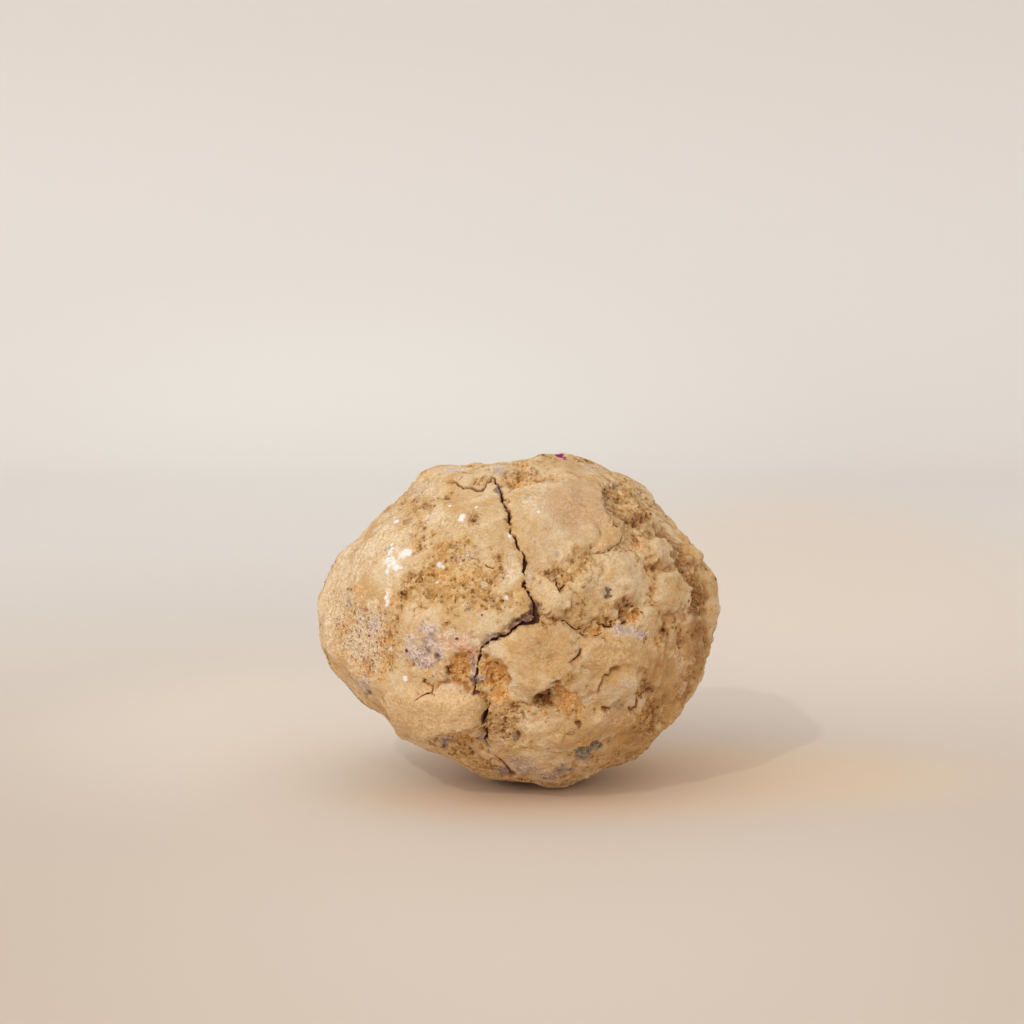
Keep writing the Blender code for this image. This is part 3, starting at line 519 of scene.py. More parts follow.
def beside(points, line, reach):
    """How far each point is from the line, how far along it from 0 to 1, and 1 or -1 for left or right of it.

    Beyond the reach the distance is the reach. Left and right are told only for pixels.
    """
    line = np.array(line, float)
    flat = line.shape[1] == 2
    near = near_box(points, line, reach)
    close = points[near]
    lengths = np.linalg.norm(np.diff(line, axis=0), axis=1)
    starts = np.concatenate([[0.0], np.cumsum(lengths)])
    nearest = np.full(len(close), float(reach))
    share = np.zeros(len(close))
    hand = np.ones(len(close))
    for i, (a, b) in enumerate(zip(line, line[1:])):
        away, t = from_stretch(close, a, b)
        nearer = away < nearest
        nearest = np.where(nearer, away, nearest)
        share = np.where(nearer, (starts[i] + t * lengths[i]) / starts[-1], share)
        if flat:
            left = (close - a) @ np.array([(b - a)[1], -(b - a)[0]])
            hand = np.where(nearer, np.where(left > 0, 1.0, -1.0), hand)
    distance, along, side = np.full(len(points), float(reach)), np.zeros(len(points)), np.ones(len(points))
    distance[near], along[near], side[near] = nearest, share, hand
    return distance, along, side


# ---------------------------------------------------------------- the skin's points
def read_rows(items, what, width, kind=np.float32):
    values = np.empty(len(items) * width, kind)
    items.foreach_get(what, values)
    return values.reshape(-1, width)


def read_points(mesh):
    return read_rows(mesh.vertices, "co", 3).astype(float)


def read_edges(mesh):
    return read_rows(mesh.edges, "vertices", 2, np.int32)


def write_points(mesh, points):
    mesh.vertices.foreach_set("co", points.astype(np.float32).ravel())
    mesh.update()


def averaged(values, edges, rounds):
    """Each value moves halfway to its neighbours' mean, so many times."""
    n = len(values)
    a, b = edges.T
    share = np.bincount(edges.ravel(), minlength=n)
    for _ in range(rounds):
        total = np.bincount(a, values[b], n) + np.bincount(b, values[a], n)
        values = 0.5 * values + 0.5 * total / share
    return values


def closed_over(values, edges, rings):
    """Fills each dip that is narrower than twice so many rings of points."""
    for choose in (np.maximum, np.minimum):
        for _ in range(rings):
            before = values
            values = before.copy()
            choose.at(values, edges[:, 0], before[edges[:, 1]])
            choose.at(values, edges[:, 1], before[edges[:, 0]])
    return values


def wrapped_sphere():
    """A fine sphere drawn in from outside onto the solid, closed over its slit, its flat faces softened."""
    bpy.ops.object.select_all(action="DESELECT")
    bpy.ops.mesh.primitive_ico_sphere_add(subdivisions=SPHERE_LEVELS, radius=START_RADIUS, location=HEART)
    skin = bpy.context.object
    skin.name = "geode_rind"
    skin.data.name = "geode_rind"
    wrap = skin.modifiers.new("wrap", "SHRINKWRAP")
    wrap.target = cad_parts["geode"]
    wrap.wrap_method = "PROJECT"
    wrap.use_negative_direction = True
    wrap.use_positive_direction = False
    bpy.ops.object.modifier_apply(modifier="wrap")
    bpy.ops.object.transform_apply(location=True, rotation=False, scale=False)
    mesh = skin.data
    out = read_points(mesh) - np.array(HEART)
    reach = np.linalg.norm(out, axis=1)
    edges = read_edges(mesh)
    reach = averaged(closed_over(reach, edges, SLIT_RINGS), edges, SOFTENING)
    write_points(mesh, np.array(HEART) + unit(out) * reach[:, None])
    return skin


def front_share(points, normals):
    """1 where the camera sees the surface well, 0 where it is turned away."""
    to_camera = unit(np.array(camera.location) - points)
    return smooth_step(*FACING, np.sum(normals * to_camera, axis=1))


def read_skin(mesh):
    """The points, how well the camera sees each, and the pixel it sees each at."""
    points = read_points(mesh)
    normals = read_rows(mesh.vertex_normals, "vector", 3).astype(float)
    return points, front_share(points, normals), seen_at(points)


def surface_at(pixels, front, place):
    """The number of the point that the camera sees nearest to a pixel."""
    miss = np.linalg.norm(pixels - np.array(place[:2]), axis=1)
    return int(np.argmin(np.where(front > BARELY_SEEN, miss, np.inf)))


def crack_path(points, front):
    """The crack from behind, over the crown and down the face: places on the skin, and widths in mm."""
    lean = np.array([[1, 0, 0], [0, math.cos(FACE_LEAN), -math.sin(FACE_LEAN)],
                     [0, math.sin(FACE_LEAN), math.cos(FACE_LEAN)]])
    directions = unit(points - np.array(HEART))
    pixels = seen_at(points)
    behind = [int(np.argmax(directions @ unit(lean @ np.array(place[:3])))) for place in CRACK_BEHIND]
    seen = [surface_at(pixels, front, place) for place in CRACK_SEEN]
    widths = [place[-1] for place in CRACK_BEHIND + CRACK_SEEN]
    return points[behind + seen], np.array(widths)


def split_near(mesh, chosen):
    """Splits in two every edge that lies between chosen points."""
    shape = bmesh.new()
    shape.from_mesh(mesh)
    shape.verts.ensure_lookup_table()
    edges = [e for e in shape.edges if chosen[e.verts[0].index] and chosen[e.verts[1].index]]
    bmesh.ops.subdivide_edges(shape, edges=edges, cuts=1, use_grid_fill=True)
    bmesh.ops.triangulate(shape, faces=[f for f in shape.faces if len(f.verts) > 3])
    shape.to_mesh(mesh)
    shape.free()


def refine(skin):
    """Finer points where the cracks run."""
    mesh = skin.data
    points, front, _ = read_skin(mesh)
    path, _ = crack_path(points, front)
    for crack_mm, band in REFINED_BANDS:
        points, front, pixels = read_skin(mesh)
        near = beside(points, path, crack_mm * MM)[0] < crack_mm * MM
        for _, _, line in HAIRLINES.values():
            near |= (beside(pixels, line, band)[0] < band) & (front > BARELY_SEEN)
        split_near(mesh, near)


# ---------------------------------------------------------------- relief, all in mm
# Rough patterns: size in mm, seed and octaves.
CRUMBLING, CRUMBLING_SEEN = (7.5, 3, 5), (4.5, 4, 4)
RAGGED, RAGGED_FINE = (1.6, 7, 3), (0.5, 8, 1)
ROLLS, STREAKS, STRONG_GROUND = (4.4, 12, 6), (1.9, 31, 3), (16.0, 18, 2)
CREASES, CREASED_GROUND = (4.2, 15, 3), (7.0, 16, 2)
PORES, PORED_GROUND = (1.05, 11, 2), (5.0, 17, 2)
# Domes: size in mm and seed.
LUMPS, CLODS, GRAINS = (5.4, 5), (2.1, 6), (1.0, 7)
# Swirls: size and reach in mm, and seed.
LUMP_SWIRL, GRAIN_SWIRL, OUTLINE_SWIRL = (4.0, 1.2, 9), (1.2, 0.45, 10), (1.4, 0.7, 21)
CRACK_SWIRL, CRACK_SWIRL_FINE = (1.5, 0.35, 22), (0.6, 0.22, 23)
# Heights: on calm or firm ground, and what strong or crumbling ground adds.
LUMP_RISE, LUMP_SUNK, ROLL_RISE = (0.25, 0.75), (0.15, 0.3), (0.28, 0.25)
CLOD_RISE, GRAIN_RISE = (0.18, 0.30), (0.10, 0.40)
CREASE_DEPTH, PORE_DEPTH, STREAK_RISE = 0.35, 0.6, 0.75
# Plates and crumbs: how far outside an outline it is felt, and how the height goes from there inwards.
FELT_OUTSIDE, PLATE_SHARE, CRUMB_SHARE = -0.3, 0.7, 0.8
PLATE_EDGE, PLATE_CORE, PLATE_FADE, CRUMB_EDGE = (-0.3, 0.5), 0.35, 2.5, (-0.5, 1.6)
# Ledges and ribs: where the step rises, how far its two sides fade, their shares of the rise, and a rib.
# A name that ends in REACH_PIXELS says how far from its line a form is felt.
LEDGE_HIGH_STEP, LEDGE_LOW_STEP = (-0.12, 0.22), (0.22, -0.12)
LEDGE_HIGH_FADE, LEDGE_LOW_FADE, LEDGE_HIGH, LEDGE_LOW = 2.6, 1.0, 0.6, 0.55
RIB_WIDTH, RIB_REACH_PIXELS = 0.9, 20.0
# The crack and the hairlines: how ragged they are, and how wide and deep the lips beside them sink.
CRACK_RAGGED, CRACK_WALLS, CRACK_THIN = 0.5, (0.05, 0.07), (0.02, 0.12)
LIP_DEPTH, LIP_WIDEST, LIP_WIDTH, CRACK_REACH = 0.45, 0.4, 0.2, 5.0
# The last value on the next line is how strongly the hairlines take the crack's painted shade.
HAIRLINE_RAGGED, HAIRLINE_WALL, HAIRLINE_ENDS, HAIRLINE_SHADE = 0.4, 0.08, (0.25, 0.75), 0.9
HAIRLINE_LIP_DEPTH, HAIRLINE_LIP_WIDTH, HAIRLINE_REACH_PIXELS = 0.06, 0.25, 12.0
HOLE_SHARE, HOLE_EDGE, HOLE_RAGGED = 0.8, (1.2, 0.2), 1.2  # the edge is in shares of the radius


def grown(rise, share):
    """A height that grows with a share."""
    return rise[0] + rise[1] * share


def tapered(along, share):
    """1 along the middle of a line, falling to 0 over a share of it at each end."""
    return smooth_step(0.0, share, along) * smooth_step(1.0, 1.0 - share, along)


def loose_share(points, pixels, front, ragged):
    """How far into crumbling ground a point is, in mm: below zero it is on a plate."""
    everywhere = 3.2 * (rough(points, *CRUMBLING) - 0.10)
    drawn = 2.0 * (rough(points, *CRUMBLING_SEEN) - 0.16)
    for sign, choose, table in ((-1, np.minimum, PLATES), (1, np.maximum, CRUMBS)):
        for _, outline in table.values():
            inside = edge_distance(pixels, outline) * PIXEL_MM
            drawn = np.where(inside > FELT_OUTSIDE, choose(drawn, sign * (0.9 * inside + 0.2)), drawn)
    return np.clip(everywhere + (drawn - everywhere) * front + 2.2 * ragged, -3.0, 3.0)


def plate_relief(pixels, front, ragged):
    """Plates stand up, most of all close to their edges, and crumbling ground lies lower."""
    height = np.zeros(len(pixels))
    for rise, outline in PLATES.values():
        inside = edge_distance(pixels, outline) * PIXEL_MM + ragged
        near_edge = np.exp(-np.clip(inside, 0.0, None) / PLATE_FADE)
        raised = smooth_step(*PLATE_EDGE, inside) * (PLATE_CORE + (1.0 - PLATE_CORE) * near_edge)
        height = np.maximum(height, rise * PLATE_SHARE * raised)
    for depth, outline in CRUMBS.values():
        inside = edge_distance(pixels, outline) * PIXEL_MM + ragged
        height = height - CRUMB_SHARE * depth * smooth_step(*CRUMB_EDGE, inside)
    return height * front


def ledge_relief(pixels, front, ragged):
    """Steps with a high and a low side, and the soft ribs of the flank."""
    height = np.zeros(len(pixels))
    for rise, line in LEDGES.values():
        distance, along, side = beside(pixels, line, FAR)
        over = distance * side * PIXEL_MM + ragged
        high = smooth_step(*LEDGE_HIGH_STEP, over) * np.exp(-np.clip(over, 0.0, None) / LEDGE_HIGH_FADE)
        low = smooth_step(*LEDGE_LOW_STEP, over) * np.exp(np.clip(over, None, 0.0) / LEDGE_LOW_FADE)
        height += rise * tapered(along, 0.18) * (LEDGE_HIGH * high - LEDGE_LOW * low)
    for rise, line in RIBS.values():
        distance, along, _ = beside(pixels, line, RIB_REACH_PIXELS)
        height += rise * tapered(along, 0.2) * np.exp(-(distance * PIXEL_MM / RIB_WIDTH) ** 2)
    return height * front


def body_relief(points, loose, strong):
    """Lumps, rolls, clods, grains, creases and pores, everywhere."""
    crumb = smooth_step(-0.9, 0.9, loose)
    pushed = swirled(points, *LUMP_SWIRL)
    height = grown(LUMP_RISE, strong) * domes(pushed, *LUMPS) - LUMP_SUNK[0] - LUMP_SUNK[1] * strong
    height += (ROLL_RISE[0] + ROLL_RISE[1] * strong * (0.3 + 0.7 * crumb)) * rough(points, *ROLLS)
    height += grown(CLOD_RISE, crumb) * (0.6 + 0.4 * strong) * domes(pushed, *CLODS)
    height += grown(GRAIN_RISE, crumb) * domes(swirled(points, *GRAIN_SWIRL), *GRAINS)
    lines = smooth_step(0.10, 0.0, np.abs(rough(points, *CREASES)))
    creases = lines * smooth_step(0.0, 0.35, rough(points, *CREASED_GROUND))
    pitted = smooth_step(-0.15, 0.4, rough(points, *PORED_GROUND))
    pores = smooth_step(0.26, 0.5, rough(points, *PORES)) * pitted
    return height - CREASE_DEPTH * strong * creases - PORE_DEPTH * pores * (0.12 + 0.88 * crumb)


def flank_streaks(points, pixels, front):
    """Fine upright streaks down the right flank."""
    x, y = pixels.T
    here = front * smooth_step(630, 665, x) * smooth_step(625, 660, y) * smooth_step(770, 735, y)
    drawn_out = points * np.array([1.0, 1.0, 0.10])
    return STREAK_RISE * here * rough(drawn_out, *STREAKS)


def cut_relief(points, pixels, wobbled, front, path, widths, ragged):
    """The crack, the hairlines and the holes, and how far into a crack each point is."""
    wandering = swirled(swirled(points, *CRACK_SWIRL), *CRACK_SWIRL_FINE)
    distance, along, _ = beside(wandering, path, CRACK_REACH * MM)
    lengths = np.concatenate([[0.0], np.cumsum(np.linalg.norm(np.diff(path, axis=0), axis=1))])
    width = np.interp(along, lengths / lengths[-1], widths)
    gap = distance / MM + CRACK_RAGGED * ragged
    depth = np.interp(width, CRACK_WIDTHS_MM, CRACK_DEPTHS_MM)
    end = smooth_step(0.0, 0.03, along)
    slit = smooth_step(width / 2 + CRACK_WALLS[0], width / 2 - CRACK_WALLS[1], gap) * end
    slit = slit * smooth_step(*CRACK_THIN, width)
    lips = np.minimum(width, LIP_WIDEST) * end * np.exp(-(gap / (LIP_WIDTH + width)) ** 2)
    height = -depth * slit - LIP_DEPTH * lips
    for wide, deep, line in HAIRLINES.values():
        distance, along, _ = beside(pixels, line, HAIRLINE_REACH_PIXELS)
        gap = distance * PIXEL_MM + HAIRLINE_RAGGED * ragged
        line_slit = smooth_step(wide / 2 + HAIRLINE_WALL, wide / 2 - HAIRLINE_WALL, gap)
        line_slit = line_slit * grown(HAIRLINE_ENDS, tapered(along, 0.12)) * front
        lips = front * np.exp(-(gap / HAIRLINE_LIP_WIDTH) ** 2)
        height -= deep * line_slit + HAIRLINE_LIP_DEPTH * lips
        # The slit is where the material paints shade into the crack and the hairlines.
        slit = np.maximum(slit, HAIRLINE_SHADE * line_slit)
    for x, y, radius, deep in HOLES:
        near = near_box(wobbled, [(x, y)], 3 * radius)
        gap = np.linalg.norm(wobbled[near] - np.array([x, y]), axis=1) / radius + HOLE_RAGGED * ragged[near]
        height[near] -= HOLE_SHARE * deep * front[near] * smooth_step(*HOLE_EDGE, gap)
    return height, slit


def shape_rind(skin):
    """Gives the skin its relief, and the masks that its material reads."""
    refine(skin)
    mesh = skin.data
    points, front, pixels = read_skin(mesh)
    wobbled = seen_at(swirled(points, *OUTLINE_SWIRL))
    path, widths = crack_path(points, front)
    ragged = 0.28 * rough(points, *RAGGED) + 0.10 * rough(points, *RAGGED_FINE)
    loose = loose_share(points, wobbled, front, ragged)
    strong = smooth_step(CALM_PIXEL, STRONG_PIXEL, pixels[:, 0])
    strong = front * strong + (1.0 - front) * smooth_step(-0.5, 0.4, rough(points, *STRONG_GROUND))
    height = plate_relief(wobbled, front, ragged) + ledge_relief(wobbled, front, ragged)
    height += (1.0 - front) * (0.5 * smooth_step(0.3, -0.5, loose) - 0.2)
    height += body_relief(points, loose, strong) + flank_streaks(points, pixels, front)
    cuts, slit = cut_relief(points, pixels, wobbled, front, path, widths, ragged)
    # How far each point lies below its neighbours, with the depth of any cut: the material paints shade into
    # these hollows and lightens raised places with chalk.
    hollow = averaged(height, read_edges(mesh), HOLLOW_ROUNDS) - height
    height += cuts
    hollow += np.clip(-cuts, 0.0, DEEPEST_HOLLOW_MM)
    out = unit(points - np.array(HEART))
    moved = points + out * (height * MM)[:, None]
    moved[:, 2] = np.maximum(moved[:, 2], 0.0)
    write_points(mesh, moved)
    masks = {"loose": loose, "hollow": hollow, "slit": slit}
    for name in STAINS:
        masks[name] = stain(moved, wobbled, front, ragged, name)
    for name, values in masks.items():
        mask = mesh.attributes.new(name, "FLOAT", "POINT")
        mask.data.foreach_set("value", values.astype(np.float32))


def stain(points, pixels, front, ragged, name):
    """How strongly a stain colours each point: patches where the camera sees them, a few others elsewhere."""
    shown = np.zeros(len(points))
    for x, y, wide, high, strength in STAINS[name]:
        inside = 1.0 - np.linalg.norm((pixels - np.array([x, y])) / np.array([wide, high]), axis=1)
        shown = np.maximum(shown, strength * smooth_step(-0.45, 0.55, inside + 1.4 * ragged))
    seed = FIRST_STAIN_SEED + list(STAINS).index(name)
    spots = rough(points, HIDDEN_STAIN_MM, seed, 3)
    hidden = HIDDEN_STAIN_MOST * smooth_step(0.42, 0.8, spots) * (name != SEEN_ONLY)
    return hidden + (shown - hidden) * front


def thin_out(skin):
    """Brings the skin under its limit of triangles, flattest places first: the far side, then the near."""
    bpy.ops.object.select_all(action="DESELECT")
    skin.select_set(True)
    bpy.context.view_layer.objects.active = skin
    for name, limit in (("away", len(skin.data.polygons) - AWAY_THINNED), ("seen", TRIANGLES)):
        _, front, _ = read_skin(skin.data)
        chosen = np.flatnonzero((front > SEEN_ENOUGH) == (name == "seen")).tolist()
        skin.vertex_groups.new(name=name).add(chosen, 1.0, "REPLACE")
        thin = skin.modifiers.new("thin", "DECIMATE")
        thin.vertex_group = name
        thin.ratio = limit / len(skin.data.polygons)
        bpy.ops.object.modifier_apply(modifier="thin")
    skin.vertex_groups.clear()
    skin.data.shade_smooth()


# ---------------------------------------------------------------- materials
def tone(*shown):
    """A colour as a screen shows it, 0 to 255, made linear."""
    linear = [c / 255 / 12.92 if c < 11 else ((c / 255 + 0.055) / 1.055) ** 2.4 for c in shown]
    return tuple(linear) + (1.0,)


def node(tree, kind, inputs=None, **settings):
    """Adds a node. inputs pairs a socket with a value or with the output that feeds it."""
    made = tree.nodes.new(kind)
    for name, value in settings.items():
        setattr(made, name, value)
    for socket, value in (inputs or {}).items():
        if isinstance(value, bpy.types.NodeSocket):
            tree.links.new(value, made.inputs[socket])
        else:
            made.inputs[socket].default_value = value
    return made


def mix(tree, factor, a, b, blend="MIX"):
    return node(tree, "ShaderNodeMix", {0: factor, 6: a, 7: b}, data_type="RGBA", blend_type=blend).outputs[2]


def step(tree, value, low, high, most=1.0):
    """0 below low, most above high, smooth between."""
    inputs = {"Value": value, "From Min": low, "From Max": high, "To Max": most}
    return node(tree, "ShaderNodeMapRange", inputs, interpolation_type="SMOOTHSTEP").outputs["Result"]


def reckon(tree, operation, *values):
    return node(tree, "ShaderNodeMath", dict(enumerate(values)), operation=operation).outputs[0]


def times(tree, a, b):
    return reckon(tree, "MULTIPLY", a, b)


def vector(tree, operation, inputs, output=0):
    return node(tree, "ShaderNodeVectorMath", inputs, operation=operation).outputs[output]


def added(tree, base, *pairs):
    """The base, plus for each pair a noise's distance from its middle times a weight."""
    for pattern, weight in pairs:
        base = reckon(tree, "ADD", base, times(tree, reckon(tree, "SUBTRACT", pattern, 0.5), weight))
    return base


def mask(tree, name):
    return node(tree, "ShaderNodeAttribute", attribute_name=name).outputs["Fac"]


def flecks(tree, place, centres, radii):
    """1 within a fleck, 0 elsewhere."""
    found = None
    for centre, radius in zip(centres, radii):
        away = vector(tree, "DISTANCE", {0: place, 1: tuple(centre)}, "Value")
        here = step(tree, away, radius * 1.35, radius * 0.5)
        found = here if found is None else reckon(tree, "MAXIMUM", found, here)
    return found


# Mottling: size in mm and detail.
MOTTLING = {"broad": (9.0, 4.0), "patchy": (3.6, 5.0), "middle": (1.5, 4.0), "fine": (0.6, 3.0),
            "dust": (0.25, 2.0)}
GRAIN_MM = 0.8
WANDER_SCALE, WANDER_REACH = 1500.0, 0.0005  # how the grains and flecks stray from a neat shape
BUMP_HEIGHT = 0.00048
TAN_DEEP, TAN = tone(190, 152, 102), tone(207, 171, 123)
TAN_PALE, TAN_GOLD = tone(224, 196, 156), tone(208, 166, 106)
OCHRE_DEEP, OCHRE, OCHRE_PALE = tone(172, 124, 64), tone(210, 162, 96), tone(234, 200, 148)
# On the next line, the first tone is painted shade in the cracks. The second is painted shade in hollows,
# pores and pits, and also darkens random specks. The last is painted shade inside deep holes. The chalk tone
# is the rind's own.
CRACK_SHADE, SHADE, CHALK, HOLE_SHADE = tone(104, 66, 54), tone(202, 156, 106), tone(236, 216, 186), tone(84, 50, 32)
WHITE, MAGENTA = tone(244, 236, 230), tone(140, 24, 100)
# Layers over a ground: the pattern, the levels it goes between, how much it covers at most, and its colour.
PLATE_LAYERS = [("broad", 0.38, 0.60, 1.0, TAN_PALE), ("patchy", 0.50, 0.66, 0.8, TAN_GOLD),
                ("middle", 0.52, 0.72, 0.8, TAN_DEEP)]
CRUMB_LAYERS = [("middle", 0.44, 0.68, 1.0, OCHRE_DEEP), ("kind", 0.55, 0.9, 0.9, OCHRE_PALE),
                ("kind", 0.25, 0.05, 0.6, OCHRE_DEEP), ("fine", 0.54, 0.68, 0.6, OCHRE_PALE)]
# Stains and painted shade, in the order laid: the darker grains, the lighter grains, and how much they cover
# at most.
TINTS = {
    "gold_and_shade": (tone(190, 142, 82), tone(204, 156, 98), 0.75),
    "dull": (tone(194, 156, 118), tone(206, 172, 136), 0.85),
    "sand": (tone(220, 176, 124), tone(232, 194, 144), 0.8),
    "brown": (tone(122, 76, 38), tone(182, 130, 76), 0.8),
    "pale": (tone(228, 200, 162), tone(240, 220, 192), 0.8),
    "rust": (tone(206, 140, 68), tone(240, 188, 118), 0.85),
    "pink": (tone(212, 146, 118), tone(238, 196, 172), 0.75),
    "lilac": (tone(162, 138, 134), tone(222, 200, 188), 0.85),
    "grey": (tone(100, 92, 82), tone(166, 154, 138), 0.85),
    "plum": (tone(76, 46, 48), tone(128, 92, 92), 0.85),
}


def rind_patterns(tree):
    """The mottling by name, the grains' kind and gap, and places that wander a little."""
    place = node(tree, "ShaderNodeTexCoord").outputs["Object"]
    patterns = {}
    for name, (size_mm, detail) in MOTTLING.items():
        inputs = {"Vector": place, "Scale": 1.0 / (size_mm * MM), "Detail": detail, "Roughness": 0.55}
        patterns[name] = node(tree, "ShaderNodeTexNoise", inputs).outputs["Fac"]
    wander = node(tree, "ShaderNodeTexNoise", {"Vector": place, "Scale": WANDER_SCALE, "Detail": 4.0})
    shift = vector(tree, "SUBTRACT", {0: wander.outputs["Color"], 1: (0.5, 0.5, 0.5)})
    shift = vector(tree, "SCALE", {0: shift, "Scale": WANDER_REACH})
    patterns["place"] = vector(tree, "ADD", {0: place, 1: shift})
    grain = node(tree, "ShaderNodeTexVoronoi", {"Vector": patterns["place"], "Scale": 1.0 / (GRAIN_MM * MM)})
    patterns["gap"] = grain.outputs["Distance"]
    patterns["kind"] = node(tree, "ShaderNodeSeparateXYZ", {0: grain.outputs["Color"]}).outputs["X"]
    return patterns


def layered(tree, patterns, ground, layers):
    colour = ground
    for name, low, high, most, layer in layers:
        colour = mix(tree, step(tree, patterns[name], low, high, most), colour, layer)
    return colour


def stained(tree, patterns, colour):
    """Lays the stains, each grainy at its edge and made of two tones."""
    middle, fine, dust = (patterns[name] for name in ("middle", "fine", "dust"))
    light = step(tree, added(tree, middle, (fine, 1.0), (dust, 0.4)), 0.40, 0.62)
    for name, (darker, lighter, most) in TINTS.items():
        share = mask(tree, name)
        spread = step(tree, added(tree, share, (middle, 1.4), (fine, 1.4), (dust, 0.6)), 0.1, 1.0, most)
        spread = times(tree, spread, step(tree, share, 0.02, 0.3))
        colour = mix(tree, spread, colour, mix(tree, light, darker, lighter))
    value = added(tree, 1.0, (dust, 0.5), (fine, 0.4))
    return vector(tree, "SCALE", {0: colour, "Scale": value})


def rind_material(white, magenta, holes):
    """Limestone and clay: tan plates, ochre crumbs, stains, chalky edges and flecks, with painted shade in
    hollows, pores, pits, cracks and deep holes.
    """
    material = bpy.data.materials.new("limestone_rind")
    material.use_nodes = True
    tree = material.node_tree
    shader = tree.nodes["Principled BSDF"]
    patterns = rind_patterns(tree)
    patchy, middle, fine, dust = (patterns[name] for name in ("patchy", "middle", "fine", "dust"))

    crumb = step(tree, added(tree, mask(tree, "loose"), (patchy, 4.0), (middle, 3.0), (fine, 2.0)), -1.2, 1.6)
    plates = layered(tree, patterns, TAN, PLATE_LAYERS)
    crumbs = layered(tree, patterns, OCHRE, CRUMB_LAYERS)
    colour = stained(tree, patterns, mix(tree, times(tree, crumb, 0.8), plates, crumbs))

    # Painted shade: hollows, pores and small pits (the dots) are darkened towards the shade tone.
    hollow = step(tree, added(tree, mask(tree, "hollow"), (fine, 0.2)), 0.04, 0.55, 0.75)
    pore = step(tree, added(tree, fine, (middle, 0.5), (patchy, 0.35)), 0.61, 0.73)
    pore = times(tree, pore, step(tree, crumb, -0.2, 1.1, 0.9))
    dots = times(tree, step(tree, patterns["gap"], 0.40, 0.22), step(tree, patterns["kind"], 0.42, 0.34))
    dots = times(tree, dots, step(tree, added(tree, crumb, (middle, 1.6)), 0.3, 1.0))
    shaded = mix(tree, 1.0, colour, SHADE, "MULTIPLY")
    colour = mix(tree, times(tree, dots, 0.65), colour, mix(tree, 1.0, shaded, SHADE, "MULTIPLY"))
    colour = mix(tree, reckon(tree, "MAXIMUM", hollow, pore), colour, shaded)
    colour = mix(tree, step(tree, mask(tree, "hollow"), -0.06, -0.35, 0.22), colour, CHALK)
    # Painted shade: the crack and the hairlines are filled with a dark brown.
    colour = mix(tree, step(tree, mask(tree, "slit"), 0.25, 0.8), colour, CRACK_SHADE)
    specks = step(tree, dust, 0.46, 0.34, reckon(tree, "ADD", 0.15, times(tree, crumb, 0.3)))
    colour = mix(tree, specks, colour, shaded)

    place = patterns["place"]
    # Painted shade: a dark spot inside each deep hole.
    colour = mix(tree, times(tree, flecks(tree, place, *holes), 0.8), colour, HOLE_SHADE)
    colour = mix(tree, flecks(tree, place, *white), colour, WHITE)
    colour = mix(tree, flecks(tree, place, *magenta), colour, MAGENTA)
    tree.links.new(colour, shader.inputs["Base Color"])

    granular = times(tree, patterns["gap"], times(tree, crumb, -0.7))
    relief = added(tree, granular, (middle, 1.0), (fine, 0.9), (dust, 0.25))
    relief = reckon(tree, "SUBTRACT", relief, times(tree, reckon(tree, "ADD", pore, dots), 0.5))
    relief = times(tree, relief, reckon(tree, "ADD", 0.8, times(tree, crumb, 0.3)))
    bump = node(tree, "ShaderNodeBump", {"Height": relief, "Distance": BUMP_HEIGHT, "Strength": 1.0})
    tree.links.new(bump.outputs["Normal"], shader.inputs["Normal"])
    tree.links.new(step(tree, fine, 1.6, -0.1), shader.inputs["Roughness"])
    shader.inputs["Specular IOR Level"].default_value = 0.2
    return material


def make_rind():
    skin = wrapped_sphere()
    shape_rind(skin)
    thin_out(skin)
    points, front, pixels = read_skin(skin.data)
    # The deep holes, where a dark spot of painted shade goes.
    holes = [(x, y, SHADED_HOLE_SHARE * radius) for x, y, radius, deep in HOLES if deep >= SHADED_HOLE_MM]
    spots = []
    for placed in (WHITE_FLECKS, MAGENTA_FLECKS, holes):
        centres = [points[surface_at(pixels, front, fleck)] for fleck in placed]
        spots.append((centres, [fleck[2] * PIXEL_MM * MM for fleck in placed]))
    skin.data.materials.append(rind_material(*spots))
    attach(skin, "root")
    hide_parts("geode")


# ---------------------------------------------------------------- stage and light
FLOOR_FRONT, FLOOR_BACK, WALL_HEIGHT, HALF_WIDTH = -2.0, 0.46, 1.2, 2.4
SWEEP_RADIUS, SWEEP_POINTS = 0.16, 25
# Painted shade: the paper goes darker and warmer towards the front, standing in for the light falling off
# there.
PAPER_WARM_TO_COOL = (-0.15, 0.35)  # where the paper's tone goes from near to far
PAPER_NEAR, PAPER_FAR = tone(202, 187, 171), tone(224, 218, 213)
# Painted light on the paper: tone, middle and half width of each patch: the floor in front, the floor at the
# right, the foot of the wall, the floor at the left, and two patches of warm light thrown from the stone onto
# the floor.
PAINTED_LIGHT_PATCHES = [
    (tone(213, 199, 185), (0.008, -0.06, 0.0), (0.105, 0.20, 1.0)),
    (tone(227, 214, 201), (0.075, 0.24, 0.0), (0.11, 0.26, 1.0)),
    (tone(230, 227, 222), (-0.06, 0.55, 0.0), (0.20, 0.35, 0.08)),
    (tone(224, 212, 198), (-0.045, 0.05, 0.0), (0.075, 0.11, 1.0)),
    (tone(222, 199, 173), (0.042, 0.003, 0.0), (0.068, 0.042, 1.0)),
    (tone(224, 201, 175), (0.008, -0.017, 0.0), (0.05, 0.024, 1.0)),
]
# Round lights aimed at the heart: the direction they stand in, how far away, their size and power.
LIGHTS = {
    "window": ((-0.60, -0.62, 0.50), 1.8, 2.2, 9.7),
    "lamp": ((-0.35, -0.72, 0.60), 1.3, 0.04, 2.4),
}
LIGHT_TONE = (1.0, 0.98, 0.96)
ROOM_TONE, ROOM_STRENGTH = (1.0, 0.98, 0.95, 1.0), 0.87


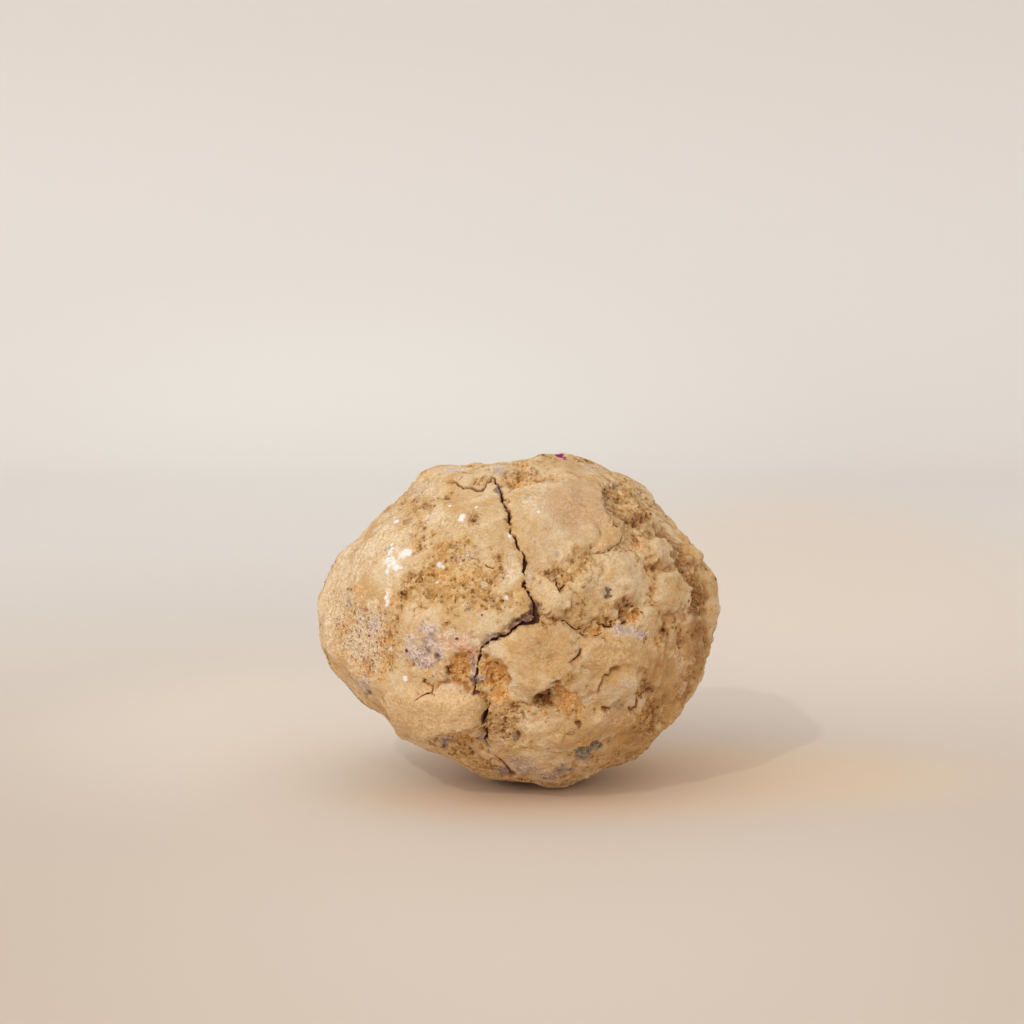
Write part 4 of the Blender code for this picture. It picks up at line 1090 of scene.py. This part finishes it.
def paper_material():
    """Matt paper, with painted shade that makes it darker and warmer towards the front, and broad soft
    patches of painted light.
    """
    material = bpy.data.materials.new("pale_paper")
    material.use_nodes = True
    tree = material.node_tree
    shader = tree.nodes["Principled BSDF"]
    place = node(tree, "ShaderNodeTexCoord").outputs["Object"]
    away = node(tree, "ShaderNodeSeparateXYZ", {0: place}).outputs["Y"]
    colour = mix(tree, step(tree, away, *PAPER_WARM_TO_COOL), PAPER_NEAR, PAPER_FAR)
    for patch, centre, reach in PAINTED_LIGHT_PATCHES:
        inputs = {"Vector": place, "Location": centre, "Scale": reach}
        centred = node(tree, "ShaderNodeMapping", inputs, vector_type="TEXTURE").outputs[0]
        from_centre = vector(tree, "LENGTH", {0: centred}, "Value")
        # Painted light: each patch lays its tone on the paper.
        colour = mix(tree, step(tree, from_centre, 1.0, 0.2), colour, patch)
    tree.links.new(colour, shader.inputs["Base Color"])
    shader.inputs["Roughness"].default_value = 0.9
    return material


def make_backdrop():
    """A pale sweep: floor, a round bend and a wall."""
    bend = [(FLOOR_BACK + SWEEP_RADIUS * math.sin(a), SWEEP_RADIUS * (1 - math.cos(a)))
            for a in np.linspace(0.0, math.pi / 2, SWEEP_POINTS)]
    profile = [(FLOOR_FRONT, 0.0)] + bend + [(FLOOR_BACK + SWEEP_RADIUS, WALL_HEIGHT)]
    points = [(side * HALF_WIDTH, y, z) for y, z in profile for side in (-1, 1)]
    faces = [(2 * i, 2 * i + 1, 2 * i + 3, 2 * i + 2) for i in range(len(profile) - 1)]
    mesh = bpy.data.meshes.new("backdrop")
    mesh.from_pydata(points, [], faces)
    mesh.shade_smooth()
    mesh.materials.append(paper_material())
    backdrop = bpy.data.objects.new("backdrop", mesh)
    bpy.context.scene.collection.objects.link(backdrop)


def make_light():
    """The two lights, and the even light of the room."""
    scene = bpy.context.scene
    for name, (towards, away, size, power) in LIGHTS.items():
        data = bpy.data.lights.new(name, "AREA")
        data.shape = "DISK"
        data.size = size
        data.energy = power
        data.color = LIGHT_TONE
        lamp = bpy.data.objects.new(name, data)
        direction = Vector(towards).normalized()
        lamp.location = HEART + direction * away
        lamp.rotation_euler = direction.to_track_quat("Z", "Y").to_euler()
        scene.collection.objects.link(lamp)
    world = scene.world or bpy.data.worlds.new("room")
    scene.world = world
    world.use_nodes = True
    room = world.node_tree.nodes["Background"].inputs
    room["Color"].default_value = ROOM_TONE
    room["Strength"].default_value = ROOM_STRENGTH
    scene.view_settings.view_transform = "Standard"


camera = place_camera()
make_rind()
make_backdrop()
make_light()
